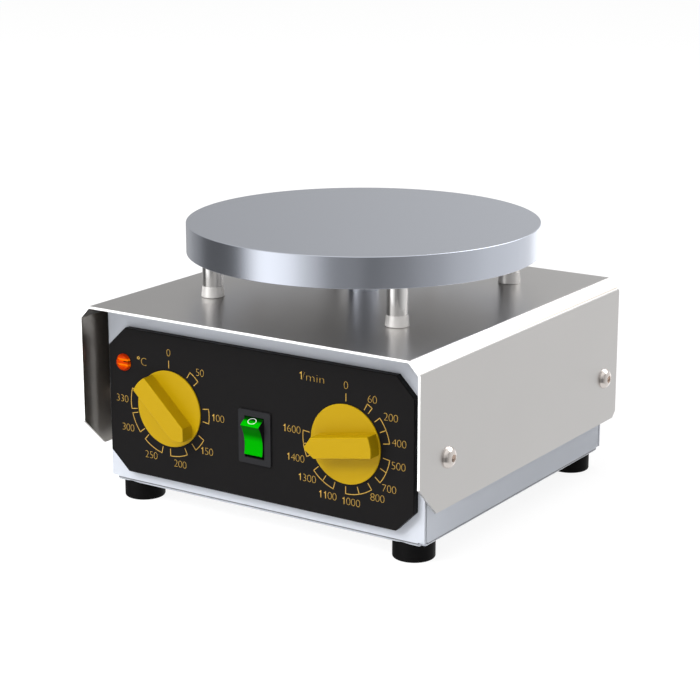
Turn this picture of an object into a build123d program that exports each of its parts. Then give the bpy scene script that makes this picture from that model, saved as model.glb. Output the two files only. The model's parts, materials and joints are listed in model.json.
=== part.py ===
from build123d import *
import math
import os

# Hotplate magnetic stirrer, in millimetres.
# X runs to the right along the front, Y to the back and Z up.
# The origin is on the bench, below the middle of the cover.

# Clearances, each on the radius or on one side
screw_clearance = 0.1
running_clearance = 0.03
push_clearance = 0.05
free_clearance = 0.5
blind_hole_room = 0.5
thread_past_nut = 1.0
button_head_rim = 0.3
button_head_land = 0.35
button_head_bulge = 0.14
pan_head_rounding = 0.45

# Cover: one sheet folded over the top and down both sides
cover_width = 171.0
cover_depth = 172.0
cover_drop = 64.7
cover_sheet = 1.0
cover_bend = 1.8
slope_run = 5.0
slope_fall = 5.2
flap_front_cut = 13.0
flap_rear_cut = 2.8

# Chassis: one sheet folded up on all four sides
side_gap = 4.2
front_overhang = 12.7
rear_overhang = 4.4
chassis_height = 78.5
chassis_sheet = 1.2
chassis_bend = 2.0
corner_notch = 3.2
corner_seam = 0.4

# Rubber feet and their screws
foot_height = 9.05
foot_round = 0.8
foot_diameter = 17.7
foot_inset_side = 10.5
foot_inset_end = 9.2
foot_recess_diameter = 9.5
foot_floor = 3.5
foot_screw_diameter = 4.0
foot_screw_head = 8.0
foot_screw_head_height = 2.4
foot_nut_width = 7.0
foot_nut_height = 3.2

# Screws in the flaps
cover_screw_diameter = 5.0
cover_screw_head = 9.0
cover_screw_head_height = 2.4
cover_screw_socket = 3.0
cover_screw_socket_depth = 1.7
cover_screw_rise = 35.7
cover_screw_front = 21.9
cover_screw_rear = 12.6
cover_nut_width = 9.0
cover_nut_height = 4.0

# Front panel
panel_side_margin = 3.1
panel_headroom = 8.85
panel_thickness = 3.2
panel_corner = 8.6
panel_rise = 5.15
panel_edge = 0.3

# Heating plate and what it holds
plate_diameter = 155.0
plate_thickness = 13.4
plate_edge = 0.3
plate_offset = 5.3
air_gap = 17.95
backing_post_gap = 2.25
backing_sheet = 1.2
backing_seat = 5.0
insulation_thickness = 2.5
wiring_space = 2.2
heater_ring_radius = 42.0
heater_diameter = 4.6
heater_opening = 34.0
heater_pin_diameter = 2.2
heater_pin_gap = 0.3
plate_pocket_diameter = 18.0
plate_pocket_room = 0.6
bulb_diameter = 4.6
bulb_length = 26.0
bulb_setback = 1.0
capillary_diameter = 1.6
heater_lead_diameter = 1.6
heater_lead_gap = 0.2
backing_screw_diameter = 3.0
backing_screw_head = 5.4
backing_screw_head_height = 1.8
backing_screw_depth = 6.0

# Posts between cover and plate
post_pitch = 94.4
post_diameter = 9.0
post_stud_diameter = 5.0
post_stud_depth = 8.0
collar_diameter = 10.3
collar_top_diameter = 9.2
collar_height = 4.9
collar_round = 0.4
post_nut_width = 8.0
post_nut_height = 4.0
post_nut_flange = 11.0
post_nut_flange_height = 1.0

# Tube that leads the wires from the plate to the housing
tube_diameter = 13.5
tube_bore = 9.5
tube_spigot_diameter = 12.0
tube_spigot_length = 2.2
tube_clip_diameter = 18.0
tube_clip_sheet = 0.8
lead_circle_radius = 3.2
lead_bend = 3.0
lead_pin_bend = 2.1
lead_drop_bend = 9.0
lead_spread = 17.0

# Magnet carrier under the cover
rotor_gap = 1.2
magnet_diameter = 22.0
magnet_height = 10.0
magnet_pitch = 54.0
magnet_recess = 1.0
magnet_edge = 0.5
carrier_thickness = 4.0
carrier_rim = 2.0
hub_diameter = 14.0
hub_length = 10.35
hub_gap = 3.0
set_screw_diameter = 3.0

# Motor and its bracket
bracket_sheet = 2.0
bracket_width = 76.0
bracket_depth = 50.0
bracket_foot = 12.0
bracket_bend = 3.0
motor_diameter = 56.0
motor_length = 30.0
motor_wall = 1.5
motor_round = 1.5
motor_end_thickness = 3.0
motor_screw_diameter = 3.0
motor_screw_head = 5.5
motor_screw_head_height = 2.0
motor_screw_inset = 8.0
shaft_diameter = 6.0
shaft_setback = 1.0
bush_diameter = 12.0
bush_length = 8.0
bush_boss = 3.0
end_play = 0.3
stator_thickness = 8.0
core_gap = 0.5

# Knobs
knob_inset_side = 32.2
knob_gap = 0.15
knob_diameter = 33.5
knob_disc = 0.6
knob_disc_round = 0.25
knob_bar_width = 8.8
knob_bar_height = 6.1
knob_bar_round = 0.35
knob_shoulder = 12.3
knob_tip = 16.1
knob_tail = 16.2
knob_bore_depth = 5.0
spindle_diameter = 6.0
spindle_flat = 1.4
temperature_pointer = 133.5
speed_pointer = 260.0

# Thermostat behind the left knob
thermostat_width = 38.0
thermostat_height = 30.0
thermostat_depth = 19.0
thermostat_round = 2.0
thermostat_spindle_depth = 8.0
thermostat_screw_diameter = 4.0
thermostat_screw_head = 7.5
thermostat_screw_pitch = 24.0
thermostat_screw_depth = 6.0

# Speed potentiometer behind the right knob
pot_diameter = 24.0
pot_depth = 9.0
pot_back_wall = 1.0
pot_bushing_diameter = 9.4
pot_bushing_length = 4.3
pot_nut_width = 14.0
pot_nut_height = 2.6
pot_nut_room = 0.6
pot_tag_width = 2.0
pot_tag_length = 7.0
pot_tag_pitch = 5.0
pot_tag_sheet = 0.8
pot_tag_count = 3

# Rocker switch in the middle
switch_drop = 5.0
bezel_width = 16.3
bezel_height = 23.1
bezel_thickness = 0.8
bezel_round = 0.8
switch_wall = 1.4
switch_depth = 24.0
switch_well = 7.2
switch_lug_rise = 1.0
switch_lug_run = 4.0
switch_lug_width = 6.0
rocker_width = 9.4
rocker_face = 4.3
rocker_face_half = 6.7
rocker_sag = 1.5
rocker_half = 8.7
rocker_back = 2.2
rocker_back_taper = 0.3
rocker_edge = 0.3
rocker_leg = 6.0
rocker_leg_width = 3.0
rocker_pivot_depth = 1.1
rocker_angle = 10.7
rocker_clearance = 0.3
rocker_pin_diameter = 2.4
rocker_pin_length = 0.9
terminal_width = 6.3
terminal_sheet = 0.8
terminal_length = 8.0
terminal_pitch = 7.0
terminal_gap = 1.0

# Indicator lamp
lamp_inset_side = 7.7
lamp_inset_top = 15.35
lamp_diameter = 7.6
lamp_rim = 0.4
lamp_step = 0.3
lamp_dome = 1.1
lamp_dome_round = 1.0
lamp_groove_count = 2
lamp_groove_pitch = 2.6
lamp_groove_width = 0.9
lamp_groove_depth = 0.5
lamp_body_diameter = 6.6
lamp_body_length = 24.0

# Mains inlet with fuse drawer, on the back wall
inlet_inset_side = 30.3
inlet_rise = 38.0
inlet_flange_width = 50.0
inlet_flange_height = 35.0
inlet_flange_thickness = 2.5
inlet_flange_round = 3.0
inlet_body_width = 28.0
inlet_body_height = 31.0
inlet_body_depth = 20.0
inlet_screw_pitch = 40.0
inlet_screw_diameter = 3.0
inlet_screw_head = 5.6
inlet_screw_length = 8.0
socket_width = 24.4
socket_height = 17.0
socket_corner = 4.5
socket_depth = 16.0
socket_wall = 2.2
pin_width = 2.0
pin_height = 4.0
pin_pitch = 14.0
pin_stagger = 4.0
pin_setback = 2.0
pin_tab = 7.0
drawer_width = 23.0
drawer_height = 6.6
drawer_depth = 14.0
drawer_grip = 1.2

# Control board and what it carries
board_depth = 34.0
board_thickness = 1.6
board_side_margin = 6.0
board_rear_gap = 2.5
standoff_height = 6.0
standoff_diameter = 6.0
standoff_pin_diameter = 3.0
standoff_inset = 5.0
standoff_tip = 1.0
block_margin = 4.1
block_depth = 16.0
block_height = 14.0
block_round = 1.0
transformer_width = 26.0
transformer_depth = 20.0
transformer_height = 24.0
transformer_edge = 1.0
transformer_gap = 4.0
capacitor_diameter = 12.0
capacitor_height = 12.5
capacitor_pitch = 13.0
capacitor_round = 0.6
capacitor_gap = 1.5
capacitor_count = 2

# Vent slots in the back wall and in the floor
slot_width = 3.0
slot_length = 24.0
slot_pitch = 7.0
rear_slot_count = 8
rear_slot_rise = 40.0
rear_slot_offset = -35.0
floor_slot_count = 7

# Places that follow from the sizes above
cover_half = cover_width / 2
chassis_bottom = foot_height
floor_top = chassis_bottom + chassis_sheet
cover_under = chassis_bottom + chassis_height
cover_top = cover_under + cover_sheet
flap_bottom = cover_top - cover_drop
side_outer = cover_half - cover_sheet - side_gap
side_inner = side_outer - chassis_sheet
chassis_front = -cover_depth / 2 + front_overhang
chassis_back = cover_depth / 2 - rear_overhang
front_inner = chassis_front + chassis_sheet
back_inner = chassis_back - chassis_sheet
side_wall_top = cover_top - slope_fall
panel_front = chassis_front - panel_thickness
panel_width = 2 * (side_outer - panel_side_margin)
panel_height = chassis_height - panel_rise - panel_headroom
panel_bottom = chassis_bottom + panel_rise
panel_middle = panel_bottom + panel_height / 2
foot_x = side_outer - foot_inset_side
foot_front = chassis_front + foot_inset_end
foot_rear = chassis_back - foot_inset_end
cover_screw_z = chassis_bottom + cover_screw_rise
cover_screw_ys = (-cover_depth / 2 + cover_screw_front, cover_depth / 2 - cover_screw_rear)
plate_under = cover_top + air_gap
plate_top = plate_under + plate_thickness
backing_top = plate_under + backing_sheet
insulation_top = backing_top + insulation_thickness
recess_top = insulation_top + wiring_space
heater_z = recess_top + heater_diameter / 2
tube_end = cover_under - tube_spigot_length
lead_run_z = tube_end - lead_bend
magnet_top = lead_run_z - heater_lead_diameter / 2 - rotor_gap
carrier_top = magnet_top - magnet_height + magnet_recess
carrier_bottom = carrier_top - carrier_thickness
hub_bottom = carrier_bottom - hub_length
bracket_top = hub_bottom - hub_gap
motor_top = bracket_top - bracket_sheet
motor_bottom = motor_top - motor_length
knob_back = panel_front - knob_gap
temperature_x = -panel_width / 2 + knob_inset_side
speed_x = panel_width / 2 - knob_inset_side
switch_z = panel_middle - switch_drop
rocker_pivot_y = panel_front + rocker_pivot_depth
lamp_x = -panel_width / 2 + lamp_inset_side
lamp_z = panel_bottom + panel_height - lamp_inset_top
inlet_x = side_outer - inlet_inset_side
inlet_z = chassis_bottom + inlet_rise
inlet_face = chassis_back + inlet_flange_thickness
socket_z = inlet_z + inlet_body_height / 2 - socket_wall - socket_height / 2
drawer_z = inlet_z - inlet_body_height / 2 + socket_wall + drawer_height / 2
lead_angles = (90 - lead_spread, 90 + lead_spread)
board_bottom = floor_top + standoff_height
board_top = board_bottom + board_thickness
board_y = back_inner - board_rear_gap - board_depth / 2
lead_reach = (board_y - plate_offset) / math.cos(math.radians(lead_spread))
block_half = lead_reach * math.sin(math.radians(lead_spread)) + block_margin
block_top = board_top + block_height
transformer_x = -block_half - transformer_gap - transformer_width / 2
capacitor_x = block_half + capacitor_gap + capacitor_diameter / 2
board_left = transformer_x - transformer_width / 2 - board_side_margin
board_right = capacitor_x + capacitor_diameter / 2 + board_side_margin
foot_places = {
    "front_left": (-foot_x, foot_front),
    "front_right": (foot_x, foot_front),
    "rear_left": (-foot_x, foot_rear),
    "rear_right": (foot_x, foot_rear),
}
post_half = post_pitch / 2
backing_diameter = 2 * (math.hypot(post_half, post_half) - post_diameter / 2 - backing_post_gap)
post_places = {
    "front_left": (-post_half, plate_offset - post_half),
    "front_right": (post_half, plate_offset - post_half),
    "rear_left": (-post_half, plate_offset + post_half),
    "rear_right": (post_half, plate_offset + post_half),
}
probe_aim = math.degrees(math.atan2(front_inner + thermostat_depth / 2 - plate_offset, temperature_x))
probe_reach = math.hypot(front_inner + thermostat_depth / 2 - plate_offset, temperature_x)


def block(x, y, z):
    """A box between three pairs of limits."""
    spans = (x, y, z)
    size = [high - low for low, high in spans]
    middle = [(low + high) / 2 for low, high in spans]
    return Pos(*middle) * Box(*size)


def upright(radius, low, high, x=0.0, y=0.0):
    """A cylinder along Z."""
    return Pos(x, y, (low + high) / 2) * Cylinder(radius, high - low)


def fore_aft(radius, low, high, x, z):
    """A cylinder along Y."""
    return Pos(x, (low + high) / 2, z) * Rot(90, 0, 0) * Cylinder(radius, high - low)


def crosswise(radius, low, high, y, z):
    """A cylinder along X."""
    return Pos((low + high) / 2, y, z) * Rot(0, 90, 0) * Cylinder(radius, high - low)


def facing_front(y, x=0.0, z=0.0):
    """A drawing plane that looks at the front, with X to the right and Z up."""
    return Plane(origin=(x, y, z), x_dir=(1, 0, 0), z_dir=(0, -1, 0))


def facing_side(x=0.0):
    """A drawing plane across the stirrer, with Y to the right and Z up."""
    return Plane(origin=(x, 0, 0), x_dir=(0, 1, 0), z_dir=(1, 0, 0))


def corner_radius(width_across_flats):
    """The distance from a hexagon's middle to its corners."""
    return width_across_flats / math.sqrt(3)


def hexagon(width_across_flats):
    """A hexagon drawn flat."""
    return RegularPolygon(corner_radius(width_across_flats), 6)


def polar(radius, angle):
    """X and Y at a distance and an angle from the plate's axis."""
    turn = math.radians(angle)
    return radius * math.cos(turn), plate_offset + radius * math.sin(turn)


def group(pieces):
    """Separate solids that share one node."""
    return Compound(children=[solid for piece in pieces for solid in piece.solids()])


def button_screw(head_diameter, head_height, shank_diameter, length, socket, socket_depth):
    """A button-head screw along Z, its head above zero and its shank below."""
    outer = head_diameter / 2
    inner = corner_radius(socket) + button_head_land
    bulge_out = button_head_bulge * (head_height - button_head_rim)
    bulge_up = button_head_bulge * (outer - inner)
    middle = ((outer + inner) / 2 + bulge_out, (button_head_rim + head_height) / 2 + bulge_up)
    crown = ThreePointArc((outer, button_head_rim), middle, (inner, head_height))
    rest = Polyline((inner, head_height), (0, head_height), (0, 0), (outer, 0), (outer, button_head_rim))
    head = revolve(facing_front(0) * make_face(crown + rest), Axis.Z)
    shank = upright(shank_diameter / 2, -length, 0)
    drive = extrude(Pos(0, 0, head_height - socket_depth) * hexagon(socket), socket_depth)
    return head + shank - drive


def pan_screw(head_diameter, head_height, shank_diameter, length):
    """A pan-head screw along Z, its head above zero and its shank below."""
    head = upright(head_diameter / 2, 0, head_height)
    head = fillet(head.edges().sort_by(Axis.Z)[-1], head_height * pan_head_rounding)
    return head + upright(shank_diameter / 2, -length, 0)


def countersunk_screw(head_diameter, shank_diameter, length):
    """A countersunk screw along Z with its flat top at zero."""
    cone_height = (head_diameter - shank_diameter) / 2
    cone = Pos(0, 0, -cone_height / 2) * Cone(shank_diameter / 2, head_diameter / 2, cone_height)
    return cone + upright(shank_diameter / 2, -length, -cone_height)


def countersink(head_diameter, shank_diameter):
    """The conical seat of a countersunk screw, with its mouth at zero."""
    cone_height = (head_diameter - shank_diameter) / 2
    narrow = shank_diameter / 2 + screw_clearance
    wide = head_diameter / 2 + screw_clearance
    return Pos(0, 0, -cone_height / 2) * Cone(narrow, wide, cone_height)


def hexagon_nut(width, height, bore):
    """A hexagon nut that stands on zero."""
    return extrude(hexagon(width), height) - upright(bore, 0, height)


def cover_outline(bottom):
    """The cover's outer form across the front, closed along the bottom."""
    shoulder = cover_top - slope_fall
    return Polygon(
        (-cover_half, bottom),
        (cover_half, bottom),
        (cover_half, shoulder),
        (cover_half - slope_run, cover_top),
        (slope_run - cover_half, cover_top),
        (-cover_half, shoulder),
        align=None,
    )


def round_upper(outline, above, radius):
    """Rounds the corners of an outline that lie above a level."""
    return fillet([corner for corner in outline.vertices() if corner.Y > above], radius)


def make_cover():
    outer = round_upper(cover_outline(flap_bottom), flap_bottom + cover_sheet, cover_bend)
    inner = offset(cover_outline(flap_bottom - cover_sheet), -cover_sheet, kind=Kind.INTERSECTION)
    inner = round_upper(inner, flap_bottom + cover_sheet, cover_bend - cover_sheet)
    shell = extrude(facing_front(0) * (outer - inner), cover_depth / 2, both=True)
    front = -cover_depth / 2
    rear = cover_depth / 2
    front_cut = Polygon(
        (front, flap_bottom),
        (front + flap_front_cut, flap_bottom),
        (front, flap_bottom + flap_front_cut),
        align=None,
    )
    rear_cut = Polygon(
        (rear, flap_bottom),
        (rear, flap_bottom + flap_rear_cut),
        (rear - flap_rear_cut, flap_bottom),
        align=None,
    )
    shell -= extrude(facing_side() * front_cut, cover_width, both=True)
    shell -= extrude(facing_side() * rear_cut, cover_width, both=True)
    for y in cover_screw_ys:
        hole = cover_screw_diameter / 2 + screw_clearance
        shell -= crosswise(hole, -cover_width, cover_width, y, cover_screw_z)
    for x, y in post_places.values():
        shell -= upright(post_stud_diameter / 2 + screw_clearance, cover_under, cover_top, x, y)
    shell -= upright(tube_spigot_diameter / 2 + push_clearance, cover_under, cover_top, 0, plate_offset)
    return shell


def channel(low, high, top):
    """The section of a sheet folded up at both ends."""
    outer = Pos((low + high) / 2, (chassis_bottom + top) / 2) * Rectangle(high - low, top - chassis_bottom)
    inner_low = low + chassis_sheet
    inner_high = high - chassis_sheet
    inner = Pos((low + high) / 2, (floor_top + top) / 2) * Rectangle(inner_high - inner_low, top - floor_top)
    middle = (chassis_bottom + top) / 2
    outer = fillet([corner for corner in outer.vertices() if corner.Y < middle], chassis_bend)
    inner = fillet([corner for corner in inner.vertices() if corner.Y < middle], chassis_bend - chassis_sheet)
    return outer - inner


def slot_row(count, pitch):
    """Places of a row of slots about zero."""
    return [(index - (count - 1) / 2) * pitch for index in range(count)]


def make_chassis():
    notch = max(corner_notch, chassis_bend)
    notch_top = chassis_bottom + notch
    ends = extrude(facing_side() * channel(chassis_front, chassis_back, cover_under), side_outer, both=True)
    sides_front = front_inner + corner_seam
    sides_back = back_inner - corner_seam
    sides = extrude(
        facing_front((sides_front + sides_back) / 2) * channel(-side_outer, side_outer, side_wall_top),
        (sides_back - sides_front) / 2,
        both=True,
    )
    for side in (-1, 1):
        across = sorted((side * (side_outer - notch), side * side_outer))
        ends -= block(across, (chassis_front, chassis_back), (chassis_bottom, notch_top))
    whole_width = (-side_outer, side_outer)
    notch_level = (chassis_bottom, notch_top)
    sides -= block(whole_width, (sides_front, chassis_front + notch), notch_level)
    sides -= block(whole_width, (chassis_back - notch, sides_back), notch_level)
    # The upper corners of the end walls stay clear of the cover's slope
    corner_start = cover_half - slope_run - cover_sheet
    for side in (-1, 1):
        corner = Polygon(
            (side * corner_start, cover_under),
            (side * (corner_start + slope_run), cover_under),
            (side * (corner_start + slope_run), cover_under - slope_fall),
            align=None,
        )
        ends -= extrude(facing_front(0) * corner, cover_depth, both=True)
    tray = ends + sides
    for cut in chassis_cuts():
        tray -= cut
    return tray


def chassis_cuts():
    """Every hole in the tray, each worked out from the piece that it takes."""
    wall = (chassis_front, front_inner)
    cuts = [fore_aft(spindle_diameter / 2 + free_clearance, *wall, temperature_x, panel_middle)]
    for side in (-1, 1):
        screw_x = temperature_x + side * thermostat_screw_pitch / 2
        cuts.append(fore_aft(thermostat_screw_diameter / 2 + screw_clearance, *wall, screw_x, panel_middle))
    cuts.append(fore_aft(pot_bushing_diameter / 2 + screw_clearance, *wall, speed_x, panel_middle))
    cuts.append(fore_aft(lamp_body_diameter / 2 + push_clearance, *wall, lamp_x, lamp_z))
    cuts.append(switch_cut(wall))
    half_width = inlet_body_width / 2 + push_clearance
    half_height = inlet_body_height / 2 + push_clearance
    rear_wall = (back_inner, chassis_back)
    cuts.append(
        block(
            (inlet_x - half_width, inlet_x + half_width),
            rear_wall,
            (inlet_z - half_height, inlet_z + half_height),
        )
    )
    for side in (-1, 1):
        screw_x = inlet_x + side * inlet_screw_pitch / 2
        cuts.append(fore_aft(inlet_screw_diameter / 2 + screw_clearance, *rear_wall, screw_x, inlet_z))
    for y in cover_screw_ys:
        hole = cover_screw_diameter / 2 + screw_clearance
        cuts.append(crosswise(hole, -side_outer, side_outer, y, cover_screw_z))
    for x, y in foot_places.values():
        cuts.append(upright(foot_screw_diameter / 2 + screw_clearance, chassis_bottom, floor_top, x, y))
    for x, y in standoff_places():
        cuts.append(upright(standoff_pin_diameter / 2 + push_clearance, chassis_bottom, floor_top, x, y))
    slot = SlotOverall(slot_length, slot_width, rotation=90)
    for x in slot_row(rear_slot_count, slot_pitch):
        place = facing_front(chassis_back, rear_slot_offset + x, chassis_bottom + rear_slot_rise)
        cuts.append(extrude(place * slot, chassis_sheet))
    for x in slot_row(floor_slot_count, slot_pitch):
        cuts.append(extrude(Pos(x, plate_offset, chassis_bottom) * slot, chassis_sheet))
    return cuts


def switch_cut(wall):
    """The rectangular hole that the switch housing snaps into."""
    half_width = switch_half_width() + push_clearance
    half_height = switch_half_height() + push_clearance
    return block((-half_width, half_width), wall, (switch_z - half_height, switch_z + half_height))


def make_front_panel():
    plate = chamfer(Rectangle(panel_width, panel_height).vertices(), panel_corner)
    panel = extrude(facing_front(chassis_front, 0, panel_middle) * plate, panel_thickness)
    panel = chamfer(panel.faces().sort_by(Axis.Y)[0].edges(), panel_edge)
    through = (panel_front, chassis_front)
    panel -= fore_aft(spindle_diameter / 2 + free_clearance, *through, temperature_x, panel_middle)
    for side in (-1, 1):
        screw_x = temperature_x + side * thermostat_screw_pitch / 2
        panel -= fore_aft(thermostat_screw_diameter / 2 + screw_clearance, *through, screw_x, panel_middle)
        seat = countersink(thermostat_screw_head, thermostat_screw_diameter)
        panel -= facing_front(panel_front, screw_x, panel_middle) * seat
    panel -= fore_aft(corner_radius(pot_nut_width) + pot_nut_room, *through, speed_x, panel_middle)
    panel -= fore_aft(lamp_body_diameter / 2 + push_clearance, *through, lamp_x, lamp_z)
    return panel - switch_cut(through)


def make_foot(x, y):
    foot = upright(foot_diameter / 2, 0, foot_height, x, y)
    foot = fillet(foot.edges().sort_by(Axis.Z)[0], foot_round)
    foot -= upright(foot_recess_diameter / 2, 0, foot_height - foot_floor, x, y)
    return foot - upright(foot_screw_diameter / 2 + screw_clearance, 0, foot_height, x, y)


def make_foot_screws():
    length = foot_floor + chassis_sheet + foot_nut_height + thread_past_nut
    screw = pan_screw(foot_screw_head, foot_screw_head_height, foot_screw_diameter, length)
    below = foot_height - foot_floor
    return group([Pos(x, y, below) * Rot(180, 0, 0) * screw for x, y in foot_places.values()])


def make_foot_nuts():
    nut = hexagon_nut(foot_nut_width, foot_nut_height, foot_screw_diameter / 2 + screw_clearance)
    return group([Pos(x, y, floor_top) * nut for x, y in foot_places.values()])


def on_both_flaps(piece, face):
    """Copies a piece that points along Z to every screw place, at a distance from the middle."""
    copies = []
    for y in cover_screw_ys:
        copies.append(Pos(face, y, cover_screw_z) * Rot(0, 90, 0) * piece)
        copies.append(Pos(-face, y, cover_screw_z) * Rot(0, -90, 0) * piece)
    return group(copies)


def make_cover_screws():
    length = cover_half - side_inner + cover_nut_height + thread_past_nut
    screw = button_screw(
        cover_screw_head,
        cover_screw_head_height,
        cover_screw_diameter,
        length,
        cover_screw_socket,
        cover_screw_socket_depth,
    )
    return on_both_flaps(screw, cover_half)


def make_cover_spacers():
    ring = Circle(cover_screw_head / 2) - Circle(cover_screw_diameter / 2 + screw_clearance)
    return on_both_flaps(extrude(ring, side_gap), side_outer)


def make_cover_nuts():
    nut = hexagon_nut(cover_nut_width, cover_nut_height, cover_screw_diameter / 2 + screw_clearance)
    return on_both_flaps(nut, side_inner - cover_nut_height)


def backing_screw_places():
    circle = backing_diameter / 2 - backing_seat / 2
    return [polar(circle, angle) for angle in (0, 90, 180, 270)]


def make_heating_plate():
    plate = upright(plate_diameter / 2, plate_under, plate_top, 0, plate_offset)
    plate = fillet(plate.edges(), plate_edge)
    plate -= upright(backing_diameter / 2 + push_clearance, plate_under, backing_top, 0, plate_offset)
    recess = backing_diameter / 2 - backing_seat
    plate -= upright(recess, plate_under, recess_top, 0, plate_offset)
    plate -= heater_groove()
    pocket_top = heater_z + bulb_diameter / 2 + plate_pocket_room
    plate -= upright(plate_pocket_diameter / 2, recess_top, pocket_top, 0, plate_offset)
    plate -= probe_groove()
    for x, y in post_places.values():
        hole = post_stud_diameter / 2 + screw_clearance
        plate -= upright(hole, plate_under, plate_under + post_stud_depth + blind_hole_room, x, y)
    for x, y in backing_screw_places():
        depth = backing_sheet + backing_screw_depth + blind_hole_room
        plate -= upright(backing_screw_diameter / 2 + screw_clearance, plate_under, plate_under + depth, x, y)
    return plate


def heater_groove():
    """The round-topped ring groove that the element lies in."""
    half = heater_diameter / 2 + push_clearance
    inner = heater_ring_radius - half
    outer = heater_ring_radius + half
    sides = Polyline((outer, heater_z), (outer, recess_top), (inner, recess_top), (inner, heater_z))
    crown = ThreePointArc((inner, heater_z), (heater_ring_radius, heater_z + half), (outer, heater_z))
    return Pos(0, plate_offset, 0) * revolve(facing_front(0) * make_face(sides + crown), Axis.Z)


def bulb_span():
    """Distances of the bulb's ends from the plate's axis."""
    inner = plate_pocket_diameter / 2 + bulb_setback
    return inner, inner + bulb_length


def outward(piece):
    """Turns a piece drawn along X to the probe's direction, about the plate's axis."""
    return Pos(0, plate_offset, 0) * Rot(0, 0, probe_aim) * piece


def probe_groove():
    """The round-topped groove of the bulb."""
    half = bulb_diameter / 2 + push_clearance
    end = bulb_span()[1] + push_clearance
    groove = crosswise(half, 0, end, 0, heater_z)
    return outward(groove + block((0, end), (-half, half), (recess_top, heater_z)))


def make_heater_element():
    section = Pos(heater_ring_radius, heater_z) * Circle(heater_diameter / 2)
    arc = revolve(facing_front(0) * section, Axis.Z, 360 - heater_opening)
    arc = Pos(0, plate_offset, 0) * Rot(0, 0, 90 + heater_opening / 2) * arc
    for angle in heater_pin_angles():
        x, y = polar(heater_ring_radius, angle)
        arc += upright(heater_pin_diameter / 2, insulation_top + heater_pin_gap, heater_z, x, y)
    return arc


def heater_pin_angles():
    """Directions of the element's two ends, just inside its arc."""
    inside = math.degrees(heater_pin_diameter / heater_ring_radius)
    return 90 - heater_opening / 2 - inside, 90 + heater_opening / 2 + inside


def make_insulation_disc():
    radius = backing_diameter / 2 - backing_seat - free_clearance
    disc = upright(radius, backing_top, insulation_top, 0, plate_offset)
    return disc - upright(plate_pocket_diameter / 2, backing_top, insulation_top, 0, plate_offset)


def make_heater_backing_plate():
    disc = upright(backing_diameter / 2, plate_under, backing_top, 0, plate_offset)
    disc -= upright(tube_bore / 2, plate_under, backing_top, 0, plate_offset)
    for x, y in backing_screw_places():
        disc -= upright(backing_screw_diameter / 2 + screw_clearance, plate_under, backing_top, x, y)
    return disc


def make_backing_screws():
    length = backing_sheet + backing_screw_depth
    screw = pan_screw(backing_screw_head, backing_screw_head_height, backing_screw_diameter, length)
    return group([Pos(x, y, plate_under) * Rot(180, 0, 0) * screw for x, y in backing_screw_places()])


def make_post(x, y):
    shaft = upright(post_diameter / 2, cover_top + collar_height, plate_under, x, y)
    stud_end = cover_under - post_nut_height - thread_past_nut
    return shaft + upright(post_stud_diameter / 2, stud_end, plate_under + post_stud_depth, x, y)


def make_post_collars():
    cone = Pos(0, 0, collar_height / 2) * Cone(collar_diameter / 2, collar_top_diameter / 2, collar_height)
    cone = fillet(cone.edges().sort_by(Axis.Z)[0], collar_round)
    cone -= upright(post_stud_diameter / 2 + screw_clearance, 0, collar_height)
    return group([Pos(x, y, cover_top) * cone for x, y in post_places.values()])


def make_post_nuts():
    bore = post_stud_diameter / 2 + screw_clearance
    nut = extrude(hexagon(post_nut_width), post_nut_height)
    nut += upright(post_nut_flange / 2, 0, post_nut_flange_height)
    nut -= upright(bore, 0, post_nut_height)
    return group([Pos(x, y, cover_under) * Rot(180, 0, 0) * nut for x, y in post_places.values()])


def make_lead_tube():
    tube = upright(tube_diameter / 2, cover_top, plate_under, 0, plate_offset)
    tube += upright(tube_spigot_diameter / 2, tube_end, cover_top, 0, plate_offset)
    return tube - upright(tube_bore / 2, tube_end, plate_under, 0, plate_offset)


def make_lead_tube_clip():
    ring = Circle(tube_clip_diameter / 2) - Circle(tube_spigot_diameter / 2)
    return extrude(Pos(0, plate_offset, cover_under - tube_clip_sheet) * ring, tube_clip_sheet)


def bent_wire(points, radii, diameter):
    """A round wire along straight runs joined by arcs."""
    path = FilletPolyline(*points, radius=radii)
    start = Plane(origin=path @ 0, z_dir=path % 0)
    return sweep(start * Circle(diameter / 2), path)


def make_temperature_probe():
    inner, outer = bulb_span()
    bulb = outward(crosswise(bulb_diameter / 2, inner, outer, 0, heater_z))
    stations = (
        (inner, heater_z),
        (lead_circle_radius, heater_z),
        (lead_circle_radius, lead_run_z),
        (probe_reach, lead_run_z),
        (probe_reach, panel_middle + thermostat_height / 2),
    )
    points = [(*polar(radius, probe_aim), z) for radius, z in stations]
    return bulb + bent_wire(points, [lead_bend, lead_bend, lead_drop_bend], capillary_diameter)


def make_heater_leads():
    wires = []
    layer = insulation_top + wiring_space / 2
    for run_angle, pin_angle in zip(lead_angles, heater_pin_angles()):
        pin_x, pin_y = polar(heater_ring_radius - heater_pin_diameter / 2 - heater_lead_gap, pin_angle)
        points = [(pin_x, pin_y, layer)]
        points.append((*polar(lead_circle_radius, run_angle), layer))
        points.append((*polar(lead_circle_radius, run_angle), lead_run_z))
        points.append((*polar(lead_reach, run_angle), lead_run_z))
        points.append((*polar(lead_reach, run_angle), block_top))
        wires.append(bent_wire(points, [lead_pin_bend, lead_bend, lead_drop_bend], heater_lead_diameter))
    return group(wires)


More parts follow.
